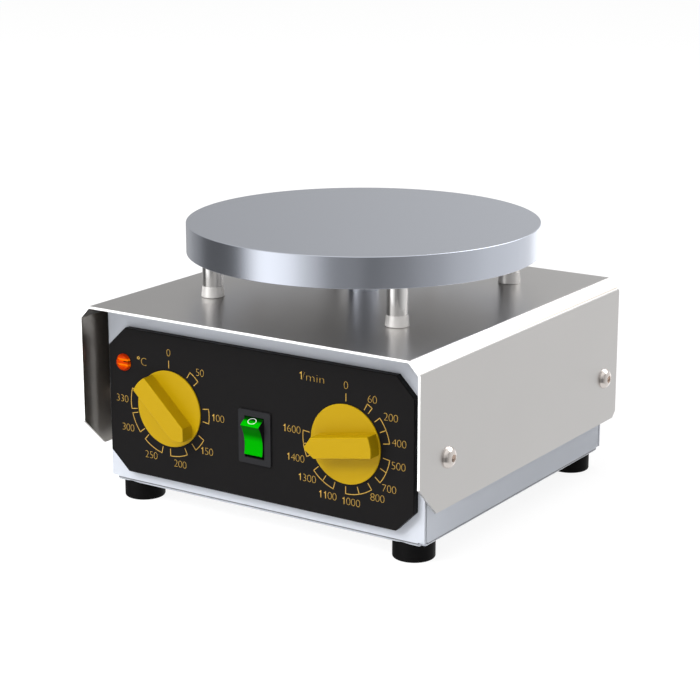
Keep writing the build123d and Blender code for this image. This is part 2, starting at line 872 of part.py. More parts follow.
def make_motor_bracket():
    half = bracket_width / 2
    foot = half + bracket_foot
    foot_level = floor_top + bracket_sheet
    section = Polygon(
        (-foot, floor_top),
        (-foot, foot_level),
        (-half, foot_level),
        (-half, bracket_top),
        (half, bracket_top),
        (half, foot_level),
        (foot, foot_level),
        (foot, floor_top),
        (half - bracket_sheet, floor_top),
        (half - bracket_sheet, motor_top),
        (bracket_sheet - half, motor_top),
        (bracket_sheet - half, floor_top),
        align=None,
    )
    outer_corners = [corner for corner in section.vertices() if corner.Y > motor_top + bracket_sheet / 2]
    section = fillet(outer_corners, bracket_bend)
    bracket = extrude(facing_front(plate_offset) * section, bracket_depth / 2, both=True)
    bracket -= upright(bush_diameter / 2 + free_clearance, motor_top, bracket_top, 0, plate_offset)
    for x, y in motor_screw_places():
        bracket -= upright(motor_screw_diameter / 2 + screw_clearance, motor_top, bracket_top, x, y)
    return bracket


def motor_screw_places():
    circle = motor_diameter / 2 - motor_screw_inset
    return [polar(circle, angle) for angle in (45, 135, 225, 315)]


def make_motor_can():
    radius = motor_diameter / 2
    ceiling = motor_top - motor_end_thickness
    can = upright(radius, motor_bottom, motor_top, 0, plate_offset)
    can = fillet(can.edges().sort_by(Axis.Z)[-1], motor_round)
    can -= upright(radius - motor_wall, motor_bottom, ceiling, 0, plate_offset)
    boss_end = motor_top - bush_length
    can += upright(bush_diameter / 2 + bush_boss, boss_end, ceiling, 0, plate_offset)
    can -= upright(bush_diameter / 2, boss_end, motor_top, 0, plate_offset)
    for x, y in motor_screw_places():
        can -= upright(motor_screw_diameter / 2 + screw_clearance, ceiling, motor_top, x, y)
    return can


def make_motor_end_bell():
    disc_top = motor_bottom + motor_end_thickness
    bell = upright(motor_diameter / 2 - motor_wall, motor_bottom, disc_top, 0, plate_offset)
    bell += upright(bush_diameter / 2 + bush_boss, disc_top, motor_bottom + bush_length, 0, plate_offset)
    return bell - upright(bush_diameter / 2, motor_bottom, motor_bottom + bush_length, 0, plate_offset)


def make_motor_bushes():
    ring = Circle(bush_diameter / 2) - Circle(shaft_diameter / 2 + running_clearance)
    bush = extrude(ring, bush_length)
    levels = (motor_bottom, motor_top - bush_length)
    return group([Pos(0, plate_offset, level) * bush for level in levels])


def make_motor_stator():
    outer = motor_diameter / 2 - motor_wall
    ring = Circle(outer) - Circle(outer - stator_thickness)
    low = motor_bottom + bush_length
    high = motor_top - bush_length
    return extrude(Pos(0, plate_offset, low) * ring, high - low)


def make_motor_shaft():
    return upright(shaft_diameter / 2, motor_bottom + shaft_setback, carrier_top, 0, plate_offset)


def make_motor_core():
    low = motor_bottom + bush_length + end_play
    high = motor_top - bush_length - end_play
    radius = motor_diameter / 2 - motor_wall - stator_thickness - core_gap
    core = upright(radius, low, high, 0, plate_offset)
    return core - upright(shaft_diameter / 2, low, high, 0, plate_offset)


def make_motor_screws():
    length = bracket_sheet + motor_end_thickness
    screw = pan_screw(motor_screw_head, motor_screw_head_height, motor_screw_diameter, length)
    return group([Pos(x, y, bracket_top) * screw for x, y in motor_screw_places()])


def make_magnet_carrier():
    width = magnet_diameter + 2 * carrier_rim
    outline = SlotOverall(magnet_pitch + width, width)
    bar = extrude(Pos(0, plate_offset, carrier_bottom) * outline, carrier_thickness)
    bar += upright(hub_diameter / 2, hub_bottom, carrier_bottom, 0, plate_offset)
    bar -= upright(shaft_diameter / 2 + push_clearance, hub_bottom, carrier_top, 0, plate_offset)
    for side in (-1, 1):
        seat = magnet_diameter / 2 + push_clearance
        bar -= upright(seat, carrier_top - magnet_recess, carrier_top, side * magnet_pitch / 2, plate_offset)
    screw_hole = set_screw_diameter / 2 + push_clearance
    return bar - crosswise(screw_hole, 0, hub_diameter / 2, plate_offset, set_screw_z())


def set_screw_z():
    return (hub_bottom + carrier_bottom) / 2


def make_magnets():
    magnet = upright(magnet_diameter / 2, carrier_top - magnet_recess, magnet_top)
    magnet = chamfer(magnet.edges().sort_by(Axis.Z)[-1], magnet_edge)
    return group([Pos(side * magnet_pitch / 2, plate_offset, 0) * magnet for side in (-1, 1)])


def make_carrier_set_screw():
    inner = shaft_diameter / 2 + push_clearance
    return crosswise(set_screw_diameter / 2, inner, hub_diameter / 2, plate_offset, set_screw_z())


def knob_bar():
    """The pointed bar across a knob, drawn with its tip upwards."""
    half = knob_bar_width / 2
    tip_half = half - (knob_tip - knob_shoulder)
    outline = Polygon(
        (-half, -knob_diameter / 2),
        (half, -knob_diameter / 2),
        (half, knob_shoulder),
        (tip_half, knob_tip),
        (-tip_half, knob_tip),
        (-half, knob_shoulder),
        align=None,
    )
    return outline & Circle(knob_tail)


def make_knob(x, pointer):
    disc = extrude(Circle(knob_diameter / 2), knob_disc)
    disc = fillet(disc.edges().sort_by(Axis.Z)[-1], knob_disc_round)
    bar = extrude(knob_bar(), knob_disc + knob_bar_height)
    bar = fillet(bar.faces().sort_by(Axis.Z)[-1].edges(), knob_bar_round)
    bore = extrude(spindle_section(push_clearance), knob_bore_depth)
    knob = Rot(0, 0, -pointer) * (disc + bar - bore)
    return facing_front(knob_back, x, panel_middle) * knob


def spindle_section(grow=0.0):
    """The D of a spindle, its flat towards the knob's tail."""
    radius = spindle_diameter / 2 + grow
    flat = spindle_diameter / 2 - spindle_flat + grow
    half_plane = Pos(0, radius - flat) * Rectangle(2 * radius, 2 * radius)
    return Circle(radius) & half_plane


def flatted_spindle(x, pointer, inner_end, flat_start):
    """A round spindle with a D-shaped front end in its knob."""
    front_end = knob_back - knob_bore_depth + push_clearance
    spindle = fore_aft(spindle_diameter / 2, flat_start, inner_end, x, panel_middle)
    section = Rot(0, 0, -pointer) * spindle_section()
    tip = extrude(facing_front(flat_start, x, panel_middle) * section, flat_start - front_end)
    return spindle + tip


def make_thermostat_body():
    back = front_inner + thermostat_depth
    half_width = thermostat_width / 2
    half_height = thermostat_height / 2
    body = block(
        (temperature_x - half_width, temperature_x + half_width),
        (front_inner, back),
        (panel_middle - half_height, panel_middle + half_height),
    )
    body = fillet(body.edges().filter_by(Axis.Y), thermostat_round)
    bore_end = front_inner + thermostat_spindle_depth
    bore = spindle_diameter / 2 + running_clearance
    body -= fore_aft(bore, front_inner, bore_end, temperature_x, panel_middle)
    for side in (-1, 1):
        screw_x = temperature_x + side * thermostat_screw_pitch / 2
        hole_end = front_inner + thermostat_screw_depth + blind_hole_room
        hole = thermostat_screw_diameter / 2 + screw_clearance
        body -= fore_aft(hole, front_inner, hole_end, screw_x, panel_middle)
    return body


def make_thermostat_spindle():
    inner_end = front_inner + thermostat_spindle_depth - free_clearance
    return flatted_spindle(temperature_x, temperature_pointer, inner_end, panel_front)


def make_thermostat_screws():
    length = panel_thickness + chassis_sheet + thermostat_screw_depth
    screw = countersunk_screw(thermostat_screw_head, thermostat_screw_diameter, length)
    screws = []
    for side in (-1, 1):
        screw_x = temperature_x + side * thermostat_screw_pitch / 2
        screws.append(facing_front(panel_front, screw_x, panel_middle) * screw)
    return group(screws)


def make_potentiometer_body():
    back = front_inner + pot_depth
    body = fore_aft(pot_diameter / 2, front_inner, back, speed_x, panel_middle)
    bushing_end = front_inner - pot_bushing_length
    body += fore_aft(pot_bushing_diameter / 2, bushing_end, front_inner, speed_x, panel_middle)
    bore_end = back - pot_back_wall
    bore = spindle_diameter / 2 + running_clearance
    body -= fore_aft(bore, bushing_end, bore_end, speed_x, panel_middle)
    tag_low = panel_middle - pot_diameter / 2 - pot_tag_length
    for shift in slot_row(pot_tag_count, pot_tag_pitch):
        tag_x = (speed_x + shift - pot_tag_width / 2, speed_x + shift + pot_tag_width / 2)
        body += block(tag_x, (back - pot_tag_sheet, back), (tag_low, panel_middle - spindle_diameter))
    return body


def make_potentiometer_shaft():
    inner_end = front_inner + pot_depth - pot_back_wall - free_clearance
    flat_start = front_inner - pot_bushing_length
    return flatted_spindle(speed_x, speed_pointer, inner_end, flat_start)


def make_potentiometer_nut():
    nut = hexagon_nut(pot_nut_width, pot_nut_height, pot_bushing_diameter / 2 + screw_clearance)
    return facing_front(chassis_front, speed_x, panel_middle) * nut


def switch_half_width():
    return rocker_width / 2 + rocker_clearance + switch_wall


def switch_half_height():
    return rocker_half + rocker_clearance + switch_wall


def make_switch_housing():
    bezel = RectangleRounded(bezel_width, bezel_height, bezel_round)
    housing = extrude(facing_front(panel_front, 0, switch_z) * bezel, bezel_thickness)
    half_width = switch_half_width()
    half_height = switch_half_height()
    back = panel_front + switch_depth
    housing += block(
        (-half_width, half_width),
        (panel_front, back),
        (switch_z - half_height, switch_z + half_height),
    )
    for side in (-1, 1):
        housing += switch_lug(side)
    well_half = rocker_width / 2 + rocker_clearance
    well_height = rocker_half + rocker_clearance
    housing -= block(
        (-well_half, well_half),
        (panel_front - bezel_thickness, rocker_pivot_y + switch_well),
        (switch_z - well_height, switch_z + well_height),
    )
    pin_reach = rocker_width / 2 + rocker_pin_length + push_clearance
    pin_hole = rocker_pin_diameter / 2 + running_clearance
    return housing - crosswise(pin_hole, -pin_reach, pin_reach, rocker_pivot_y, switch_z)


def switch_lug(side):
    """A snap wedge behind the wall, above or below the switch housing."""
    root = switch_z + side * switch_half_height()
    wedge = Polygon(
        (front_inner, root),
        (front_inner, root + side * switch_lug_rise),
        (front_inner + switch_lug_run, root),
        align=None,
    )
    return extrude(facing_side() * wedge, switch_lug_width / 2, both=True)


def make_switch_rocker():
    corner = (rocker_face, rocker_face_half)
    low_corner = (rocker_face, -rocker_face_half)
    hollow = ThreePointArc(corner, (rocker_face - rocker_sag, 0), low_corner)
    outside = Polyline(
        low_corner,
        (0, -rocker_half),
        (-rocker_back, rocker_back_taper - rocker_half),
        (-rocker_back, -rocker_leg_width / 2),
        (-rocker_leg, -rocker_leg_width / 2),
        (-rocker_leg, rocker_leg_width / 2),
        (-rocker_back, rocker_leg_width / 2),
        (-rocker_back, rocker_half - rocker_back_taper),
        (0, rocker_half),
        corner,
    )
    outline = make_face(hollow + outside)
    # Drawn with its face towards local X, which points to the front here
    side_view = Plane(origin=(0, rocker_pivot_y, switch_z), x_dir=(0, -1, 0), z_dir=(-1, 0, 0))
    rocker = extrude(side_view * Rot(0, 0, -rocker_angle) * outline, rocker_width / 2, both=True)
    front_edges = [edge for edge in rocker.edges() if edge.center().Y < rocker_pivot_y - rocker_edge]
    rocker = fillet(front_edges, rocker_edge)
    reach = rocker_width / 2 + rocker_pin_length
    return rocker + crosswise(rocker_pin_diameter / 2, -reach, reach, rocker_pivot_y, switch_z)


def make_switch_terminals():
    back = panel_front + switch_depth
    blades = []
    for x in slot_row(2, terminal_width + terminal_gap):
        for shift in slot_row(2, terminal_pitch):
            blade_x = (x - terminal_width / 2, x + terminal_width / 2)
            blade_z = (switch_z + shift - terminal_sheet / 2, switch_z + shift + terminal_sheet / 2)
            blades.append(block(blade_x, (back, back + terminal_length), blade_z))
    return group(blades)


def make_lamp_lens():
    rim = extrude(Circle(lamp_diameter / 2), lamp_rim)
    crown = extrude(Pos(0, 0, lamp_rim) * Circle(lamp_diameter / 2 - lamp_step), lamp_dome)
    crown = fillet(crown.edges().sort_by(Axis.Z)[-1], lamp_dome_round)
    lens = rim + crown
    top = lamp_rim + lamp_dome
    for shift in slot_row(lamp_groove_count, lamp_groove_pitch):
        notch = Polygon(
            (shift, top - lamp_groove_depth),
            (shift + lamp_groove_width / 2, top),
            (shift - lamp_groove_width / 2, top),
            align=None,
        )
        lens -= extrude(facing_side() * notch, lamp_diameter / 2, both=True)
    return facing_front(panel_front, lamp_x, lamp_z) * lens


def make_lamp_body():
    return fore_aft(lamp_body_diameter / 2, panel_front, panel_front + lamp_body_length, lamp_x, lamp_z)


def make_inlet_housing():
    flange = RectangleRounded(inlet_flange_width, inlet_flange_height, inlet_flange_round)
    housing = extrude(facing_front(inlet_face, inlet_x, inlet_z) * flange, inlet_flange_thickness)
    half_width = inlet_body_width / 2
    half_height = inlet_body_height / 2
    body_front = chassis_back - inlet_body_depth
    housing += block(
        (inlet_x - half_width, inlet_x + half_width),
        (body_front, chassis_back),
        (inlet_z - half_height, inlet_z + half_height),
    )
    opening = Rectangle(socket_width, socket_height)
    opening = chamfer([corner for corner in opening.vertices() if corner.Y > 0], socket_corner)
    housing -= extrude(facing_front(inlet_face, inlet_x, socket_z) * opening, socket_depth)
    housing -= drawer_block(push_clearance)
    for pin in pin_blocks(push_clearance):
        housing -= pin
    for side in (-1, 1):
        screw_x = inlet_x + side * inlet_screw_pitch / 2
        hole = inlet_screw_diameter / 2 + screw_clearance
        housing -= fore_aft(hole, chassis_back, inlet_face, screw_x, inlet_z)
        seat = countersink(inlet_screw_head, inlet_screw_diameter)
        housing -= facing_back(screw_x) * seat
    return housing


def facing_back(x):
    """A plane on the inlet's flange that looks out of the back."""
    return Plane(origin=(x, inlet_face, inlet_z), x_dir=(-1, 0, 0), z_dir=(0, 1, 0))


def pin_blocks(grow=0.0):
    """The three blades of the inlet, earth in the middle."""
    blades = []
    body_front = chassis_back - inlet_body_depth
    middles = ((-pin_pitch / 2, -pin_stagger / 2), (0, pin_stagger / 2), (pin_pitch / 2, -pin_stagger / 2))
    for x, z in middles:
        blade_x = (inlet_x + x - pin_width / 2 - grow, inlet_x + x + pin_width / 2 + grow)
        blade_z = (socket_z + z - pin_height / 2 - grow, socket_z + z + pin_height / 2 + grow)
        blades.append(block(blade_x, (body_front - pin_tab, inlet_face - pin_setback), blade_z))
    return blades


def make_inlet_pins():
    return group(pin_blocks())


def make_inlet_screws():
    screw = countersunk_screw(inlet_screw_head, inlet_screw_diameter, inlet_screw_length)
    screws = []
    for side in (-1, 1):
        screws.append(facing_back(inlet_x + side * inlet_screw_pitch / 2) * screw)
    return group(screws)


def drawer_block(grow=0.0):
    half_width = drawer_width / 2 + grow
    half_height = drawer_height / 2 + grow
    return block(
        (inlet_x - half_width, inlet_x + half_width),
        (inlet_face - drawer_depth - grow, inlet_face),
        (drawer_z - half_height, drawer_z + half_height),
    )


def make_fuse_drawer():
    grip = (drawer_z - drawer_height / 2, drawer_z - drawer_height / 2 + drawer_grip)
    finger = (inlet_x - drawer_width / 4, inlet_x + drawer_width / 4)
    return drawer_block() - block(finger, (inlet_face - drawer_grip, inlet_face), grip)


def standoff_places():
    reach = board_depth / 2 - standoff_inset
    columns = (board_left + standoff_inset, board_right - standoff_inset)
    return [(x, board_y + side * reach) for x in columns for side in (-1, 1)]


def make_board_standoffs():
    pin = standoff_pin_diameter / 2
    legs = []
    for x, y in standoff_places():
        leg = upright(standoff_diameter / 2, floor_top, board_bottom, x, y)
        leg += upright(pin, chassis_bottom, floor_top, x, y)
        leg += upright(pin, board_bottom, board_top + standoff_tip, x, y)
        legs.append(leg)
    return group(legs)


def make_control_board():
    board = block(
        (board_left, board_right),
        (board_y - board_depth / 2, board_y + board_depth / 2),
        (board_bottom, board_top),
    )
    for x, y in standoff_places():
        board -= upright(standoff_pin_diameter / 2 + push_clearance, board_bottom, board_top, x, y)
    return board


def make_terminal_block():
    body = block(
        (-block_half, block_half),
        (board_y - block_depth / 2, board_y + block_depth / 2),
        (board_top, block_top),
    )
    return fillet(body.edges().filter_by(Axis.X).sort_by(Axis.Z)[-2:], block_round)


def make_transformer():
    core = block(
        (transformer_x - transformer_width / 2, transformer_x + transformer_width / 2),
        (board_y - transformer_depth / 2, board_y + transformer_depth / 2),
        (board_top, board_top + transformer_height),
    )
    return chamfer(core.edges().filter_by(Axis.Z), transformer_edge)


def make_capacitors():
    can = upright(capacitor_diameter / 2, board_top, board_top + capacitor_height)
    can = fillet(can.edges().sort_by(Axis.Z)[-1], capacitor_round)
    shifts = slot_row(capacitor_count, capacitor_pitch)
    return group([Pos(capacitor_x, board_y + shift, 0) * can for shift in shifts])


def all_pieces():
    """Every node of the stirrer by name."""
    pieces = {
        "cover": make_cover(),
        "chassis": make_chassis(),
        "front_panel": make_front_panel(),
        "foot_screws": make_foot_screws(),
        "foot_nuts": make_foot_nuts(),
        "cover_screws": make_cover_screws(),
        "cover_spacers": make_cover_spacers(),
        "cover_nuts": make_cover_nuts(),
        "heating_plate": make_heating_plate(),
        "heater_element": make_heater_element(),
        "insulation_disc": make_insulation_disc(),
        "heater_backing_plate": make_heater_backing_plate(),
        "backing_screws": make_backing_screws(),
        "post_collars": make_post_collars(),
        "post_nuts": make_post_nuts(),
        "lead_tube": make_lead_tube(),
        "lead_tube_clip": make_lead_tube_clip(),
        "temperature_probe": make_temperature_probe(),
        "heater_leads": make_heater_leads(),
        "motor_bracket": make_motor_bracket(),
        "motor_can": make_motor_can(),
        "motor_stator": make_motor_stator(),
        "motor_end_bell": make_motor_end_bell(),
        "motor_bushes": make_motor_bushes(),
        "motor_shaft": make_motor_shaft(),
        "motor_core": make_motor_core(),
        "motor_screws": make_motor_screws(),
        "magnet_carrier": make_magnet_carrier(),
        "magnets": make_magnets(),
        "carrier_set_screw": make_carrier_set_screw(),
        "thermostat_body": make_thermostat_body(),
        "thermostat_spindle": make_thermostat_spindle(),
        "thermostat_screws": make_thermostat_screws(),
        "temperature_knob": make_knob(temperature_x, temperature_pointer),
        "potentiometer_body": make_potentiometer_body(),
        "potentiometer_shaft": make_potentiometer_shaft(),
        "potentiometer_nut": make_potentiometer_nut(),
        "speed_knob": make_knob(speed_x, speed_pointer),
        "switch_housing": make_switch_housing(),
        "switch_rocker": make_switch_rocker(),
        "switch_terminals": make_switch_terminals(),
        "lamp_lens": make_lamp_lens(),
        "lamp_body": make_lamp_body(),
        "inlet_housing": make_inlet_housing(),
        "inlet_pins": make_inlet_pins(),
        "inlet_screws": make_inlet_screws(),
        "fuse_drawer": make_fuse_drawer(),
        "board_standoffs": make_board_standoffs(),
        "control_board": make_control_board(),
        "terminal_block": make_terminal_block(),
        "transformer": make_transformer(),
        "capacitors": make_capacitors(),
    }
    for corner, (x, y) in foot_places.items():
        pieces[f"foot_{corner}"] = make_foot(x, y)
    for corner, (x, y) in post_places.items():
        pieces[f"post_{corner}"] = make_post(x, y)
    return pieces


os.makedirs("parts", exist_ok=True)
for name, piece in all_pieces().items():
    piece.label = name
    export_step(piece, f"parts/{name}.step")
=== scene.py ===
import json
import math

import bmesh
import bpy
from mathutils import Matrix, Vector


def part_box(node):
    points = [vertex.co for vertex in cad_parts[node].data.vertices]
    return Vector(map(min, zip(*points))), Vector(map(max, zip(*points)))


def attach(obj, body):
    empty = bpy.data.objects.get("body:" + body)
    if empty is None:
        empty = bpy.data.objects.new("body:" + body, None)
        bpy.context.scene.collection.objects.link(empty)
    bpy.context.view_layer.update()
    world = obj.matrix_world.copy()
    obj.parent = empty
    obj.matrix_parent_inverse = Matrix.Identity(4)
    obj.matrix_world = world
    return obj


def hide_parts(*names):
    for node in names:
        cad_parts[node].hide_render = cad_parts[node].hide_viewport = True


# Looks of a hotplate magnetic stirrer, in metres.
# X runs to the right along the front, Y to the back and Z up.

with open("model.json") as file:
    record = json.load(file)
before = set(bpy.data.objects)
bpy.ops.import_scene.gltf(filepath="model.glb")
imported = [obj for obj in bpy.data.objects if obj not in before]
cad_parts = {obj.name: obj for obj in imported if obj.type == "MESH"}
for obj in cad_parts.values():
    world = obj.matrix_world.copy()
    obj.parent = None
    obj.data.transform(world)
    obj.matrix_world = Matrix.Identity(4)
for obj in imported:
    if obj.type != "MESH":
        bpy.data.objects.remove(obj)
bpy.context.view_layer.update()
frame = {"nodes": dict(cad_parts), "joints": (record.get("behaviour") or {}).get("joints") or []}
nodes = frame["nodes"]
joints = {joint["name"]: joint for joint in frame["joints"]}

MM = 0.001

# Places taken from the solids
CHASSIS_LOW, CHASSIS_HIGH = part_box("chassis")
COVER_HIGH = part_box("cover")[1]
PANEL_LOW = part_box("front_panel")[0]
LENS_LOW, LENS_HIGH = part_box("lamp_lens")
PLATE_AXIS = Vector(joints["rotor_spin"]["pos_m"])
ROCKER_PIVOT = Vector(joints["rocker_tip"]["pos_m"])

# Camera
CAMERA_PLACE = Vector((0.46729, -0.71341, 0.28970))
CAMERA_BACK = Vector((0.53218, -0.80634, 0.25807))
CAMERA_LENS = 102.56
CAMERA_SENSOR = 36.0
CAMERA_NEAREST = 0.05
CAMERA_AZIMUTH = math.atan2(CAMERA_BACK.y, CAMERA_BACK.x)

# Lamps. Each has a name, a place, a side length and a power.
LAMP_TARGET = Vector((0, 0, 0.06))
LAMPS = [
    ("key_lamp", (-0.9, -1.5, 1.3), 1.0, 31.0),
    ("front_lamp", (-0.35, -1.2, 1.7), 1.0, 17.0),
    ("top_lamp", (0.1, 0.2, 1.6), 1.4, 16.0),
]

# Floor and even light
FLOOR_SIZE = 12.0
FLOOR_WHITE = (0.9, 0.9, 0.9, 1.0)
FLOOR_SHARE = 0.85
FLOOR_GLOW = 1.06
ROOM_LIGHT = 0.435
WHITE = (1.0, 1.0, 1.0, 1.0)

# The room that metal mirrors. A turn is a share of a whole turn, counted from the camera, and a rise is
# the upward part of a direction. Each stop of a list is a place and a brightness or a share.
HALF_TURN = 0.5
WALLS = [
    (0.000, 0.145),
    (0.060, 0.250),
    (0.120, 0.400),
    (0.180, 0.580),
    (0.250, 0.720),
    (0.340, 0.810),
    (0.372, 0.880),
    (0.400, 1.350),
    (0.456, 1.450),
    (0.478, 0.570),
    (0.520, 0.420),
    (0.568, 0.480),
    (0.625, 0.310),
    (0.668, 0.112),
    (0.750, 0.105),
    (0.814, 1.370),
    (0.858, 1.190),
    (0.905, 0.660),
    (0.945, 0.262),
]
CEILING = [(0.0, 0.40), (0.50, 0.40), (0.70, 0.85), (1.0, 1.0)]
ABOVE_WALLS = [(0.30, 0.0), (0.50, 1.0)]
BELOW_WALLS = [(0.5, 0.0), (0.75, 1.0)]
GROUND_LIGHT = 0.8

# Patches of that room: a softbox under the ceiling, a dimmer stretch of wall, and a fill in front, whose
# turn is counted from the far side
SOFTBOX_LIGHT = 2.6
SOFTBOX_TURN = [(0.20, 0.0), (0.27, 1.0), (0.40, 1.0), (0.45, 0.0)]
SOFTBOX_RISE = [(0.36, 0.0), (0.46, 1.0), (0.85, 1.0), (0.95, 0.0)]
DIM_LIGHT = -0.62
DIM_TURN = [(0.35, 0.0), (0.39, 1.0), (0.435, 1.0), (0.465, 0.0)]
DIM_RISE = [(0.0, 0.0), (0.08, 1.0)]
FILL_LIGHT = 0.24
FILL_TURN = [(0.36, 0.0), (0.42, 1.0)]
FILL_RISE = [(0.05, 0.0), (0.15, 1.0), (0.50, 1.0), (0.70, 0.0)]

# Surface grain
GRAIN_DETAIL = 3.0
GRAIN_RELIEF = 0.02 * MM
SLOW_SCALE = 28.0
SLOW_DETAIL = 2.0
NO_STRETCH = (1, 1, 1)

# Finishes of the cover, with a painted reflection inside the flaps and a painted highlight on the cut edges
COVER_COLOUR = (0.655, 0.641, 0.629)
COVER_SHEET = 1.0 * MM
CUT_EDGE_SKIN = 0.07 * MM
# The bare cut edges are painted white and not metal, as a painted highlight
CUT_EDGE_PAINTED_HIGHLIGHT = (0.92, 0.92, 0.91, 1.0)
# Inside the flaps the steel carries a painted reflection, darker and warmer than the rest
FLAP_INSIDE = COVER_HIGH.x - COVER_SHEET
FLAP_INSIDE_REACH = 0.15 * MM
FLAP_INSIDE_PAINTED_REFLECTION = (0.485, 0.440, 0.380, 1.0)

# Finishes of the chassis, with painted shade in the open corner seams and along the bend round the floor. The
# seams are counted from its ends, and the bend's shade from the tray's lowest point.
CHASSIS_COLOUR = (0.555, 0.583, 0.640)
CHASSIS_PAINTED_SHADE_COLOUR = (0.16, 0.165, 0.18, 1.0)
SEAM_START = 1.05 * MM
SEAM_END = 1.65 * MM
SEAM_SKIN = 0.03 * MM
BEND_SHADE_START = 1.20 * MM
BEND_SHADE_END = 1.80 * MM

# Turned rings of the plate
PLATE_COLOUR = (0.688, 0.725, 0.812)
PLATE_RINGS = 900.0
PLATE_RING_WANDER = 0.6
PLATE_RING_DETAIL = 40.0
PLATE_RING_STRENGTH = 0.05
PLATE_RING_RELIEF = 0.01 * MM

# Painted glow and shade of the rocker, by height from its lower to its upper end, standing in for the light
# of its inner lamp and for shade, and black painted shadow on its side faces
ROCKER_LOW = 34.0 * MM
ROCKER_HIGH = 51.0 * MM
ROCKER_SIDE = 4.55 * MM
ROCKER_SIDE_PAINTED_SHADOW = (0.008, 0.008, 0.009, 1.0)
ROCKER_PAINTED_GLOW_AND_SHADE = [
    (0.0, (0.0, 0.325, 0.0)),
    (0.37, (0.0, 0.315, 0.0)),
    (0.53, (0.0, 0.125, 0.0)),
    (0.770, (0.0, 0.110, 0.0)),
    (0.780, (0.0, 0.40, 0.0)),
    (0.860, (0.0, 0.38, 0.0)),
    (0.900, (0.0, 0.03, 0.0)),
    (1.0, (0.0, 0.02, 0.0)),
]

# Painted light and shade of the lamp: two bright bars painted as highlights, and a dark slit and a darker top
# and bottom painted as shade. The bars and the slit run across its right part, at a share of its height.
LAMP_PLAIN = (0.46, 0.034, 0.0, 1.0)
LAMP_SLIT_PAINTED_SHADE = (0.012, 0.002, 0.0, 1.0)
LAMP_PAINTED_HIGHLIGHT_BARS = [
    (0.0, (0.28, 0.014, 0.0)),
    (0.25, (0.44, 0.030, 0.0)),
    (0.40, (0.92, 0.170, 0.0)),
    (0.50, (0.46, 0.030, 0.0)),
    (0.60, (0.52, 0.036, 0.0)),
    (0.69, (0.95, 0.210, 0.0)),
    (0.80, (0.46, 0.030, 0.0)),
    (1.0, (0.28, 0.014, 0.0)),
]
LAMP_HIGHLIGHT_SIDE = [(0.16, 0.0), (0.36, 1.0)]
LAMP_PAINTED_SHADE_SLIT = [(0.565, 0.0), (0.585, 1.0), (0.625, 1.0), (0.645, 0.0)]
LAMP_SHADE_SLIT_SIDE = [(0.56, 0.0), (0.68, 1.0)]

# Colours of the other finishes
PANEL_BLACK = (0.0090, 0.0085, 0.0088)
POST_STEEL = (0.86, 0.85, 0.84)
COLLAR_ALUMINIUM = (1.0, 0.975, 0.95)
SCREW_STEEL = (0.80, 0.74, 0.70)
KNOB_GOLD = (0.410, 0.259, 0.002)
BEZEL_GREY = (0.022, 0.022, 0.024)
RUBBER_BLACK = (0.0044, 0.0042, 0.0044)
PLAIN_STEEL = (0.70, 0.70, 0.70)
FIBRE_WHITE = (0.80, 0.79, 0.75)
COPPER = (0.70, 0.38, 0.20)
FERRITE = (0.05, 0.05, 0.05)
MILLED_ALUMINIUM = (0.6, 0.6, 0.6)
BRONZE = (0.55, 0.36, 0.14)
PLATED_BRASS = (0.75, 0.70, 0.58)
MOULDING_BLACK = (0.014, 0.014, 0.014)
LAMINATE_GREEN = (0.02, 0.16, 0.06)
NYLON = (0.75, 0.75, 0.70)
RESIN_BLUE = (0.02, 0.05, 0.18)
SLEEVE_DARK = (0.02, 0.02, 0.05)
GOLD_INK = (0.50, 0.31, 0.06)
WHITE_INK = (0.80, 0.80, 0.80)

# Lower edge of the tray
MERGE_DISTANCE = 0.001 * MM
BEND_TOP = CHASSIS_LOW.z + 2.1 * MM
NOTCH_TOP = CHASSIS_LOW.z + 3.2 * MM
NOTCH_REACH = 0.02 * MM
FLOOR_DROP = 1.25 * MM
NOTCH_DROP = 2.30 * MM
BEND_ANGLE = math.radians(25)
SQUARE_FACE = 0.9999
FLAT_BORDER = math.radians(1)

# Left edge of the panel
PANEL_EDGE = 0.35 * MM
PANEL_REACH = 0.6 * MM

# Printed lines and figures
PRINT_THICKNESS = 0.04 * MM
PRINT_LINE = 0.31 * MM
MARK_INNER = 17.9 * MM
MARK_OUTER = 21.2 * MM
ARC_STEP = 4
RING_SEGMENTS = 48
DIGIT_HEIGHT = 3.05 * MM
DIGIT_WIDTH = 1.95 * MM
DIGIT_PITCH = 2.32 * MM
LETTER_THINNING = -0.028
LETTER_STEPS = 4

# The outline of a figure one with a flag, for a height of 1
FIGURE_ONE = [
    (0.03, 0.0),
    (0.14, 0.0),
    (0.14, 1.0),
    (0.06, 1.0),
    (0.0, 0.88),
    (-0.17, 0.81),
    (-0.17, 0.71),
    (0.03, 0.71),
]

# Units beside the dials, from a knob's axis to the right and up
UNIT_HEIGHT = 3.3 * MM
DEGREE_RADIUS = 0.68 * MM
DEGREE_PLACE = (-16.4 * MM, 20.0 * MM)
CELSIUS_PLACE = (-13.6 * MM, 18.7 * MM)
UNIT_ONE_PLACE = (-21.9 * MM, 25.4 * MM)
PER_MINUTE_PLACE = (-15.9 * MM, 25.2 * MM)
PER_MINUTE_WIDTH = 2.5 * MM

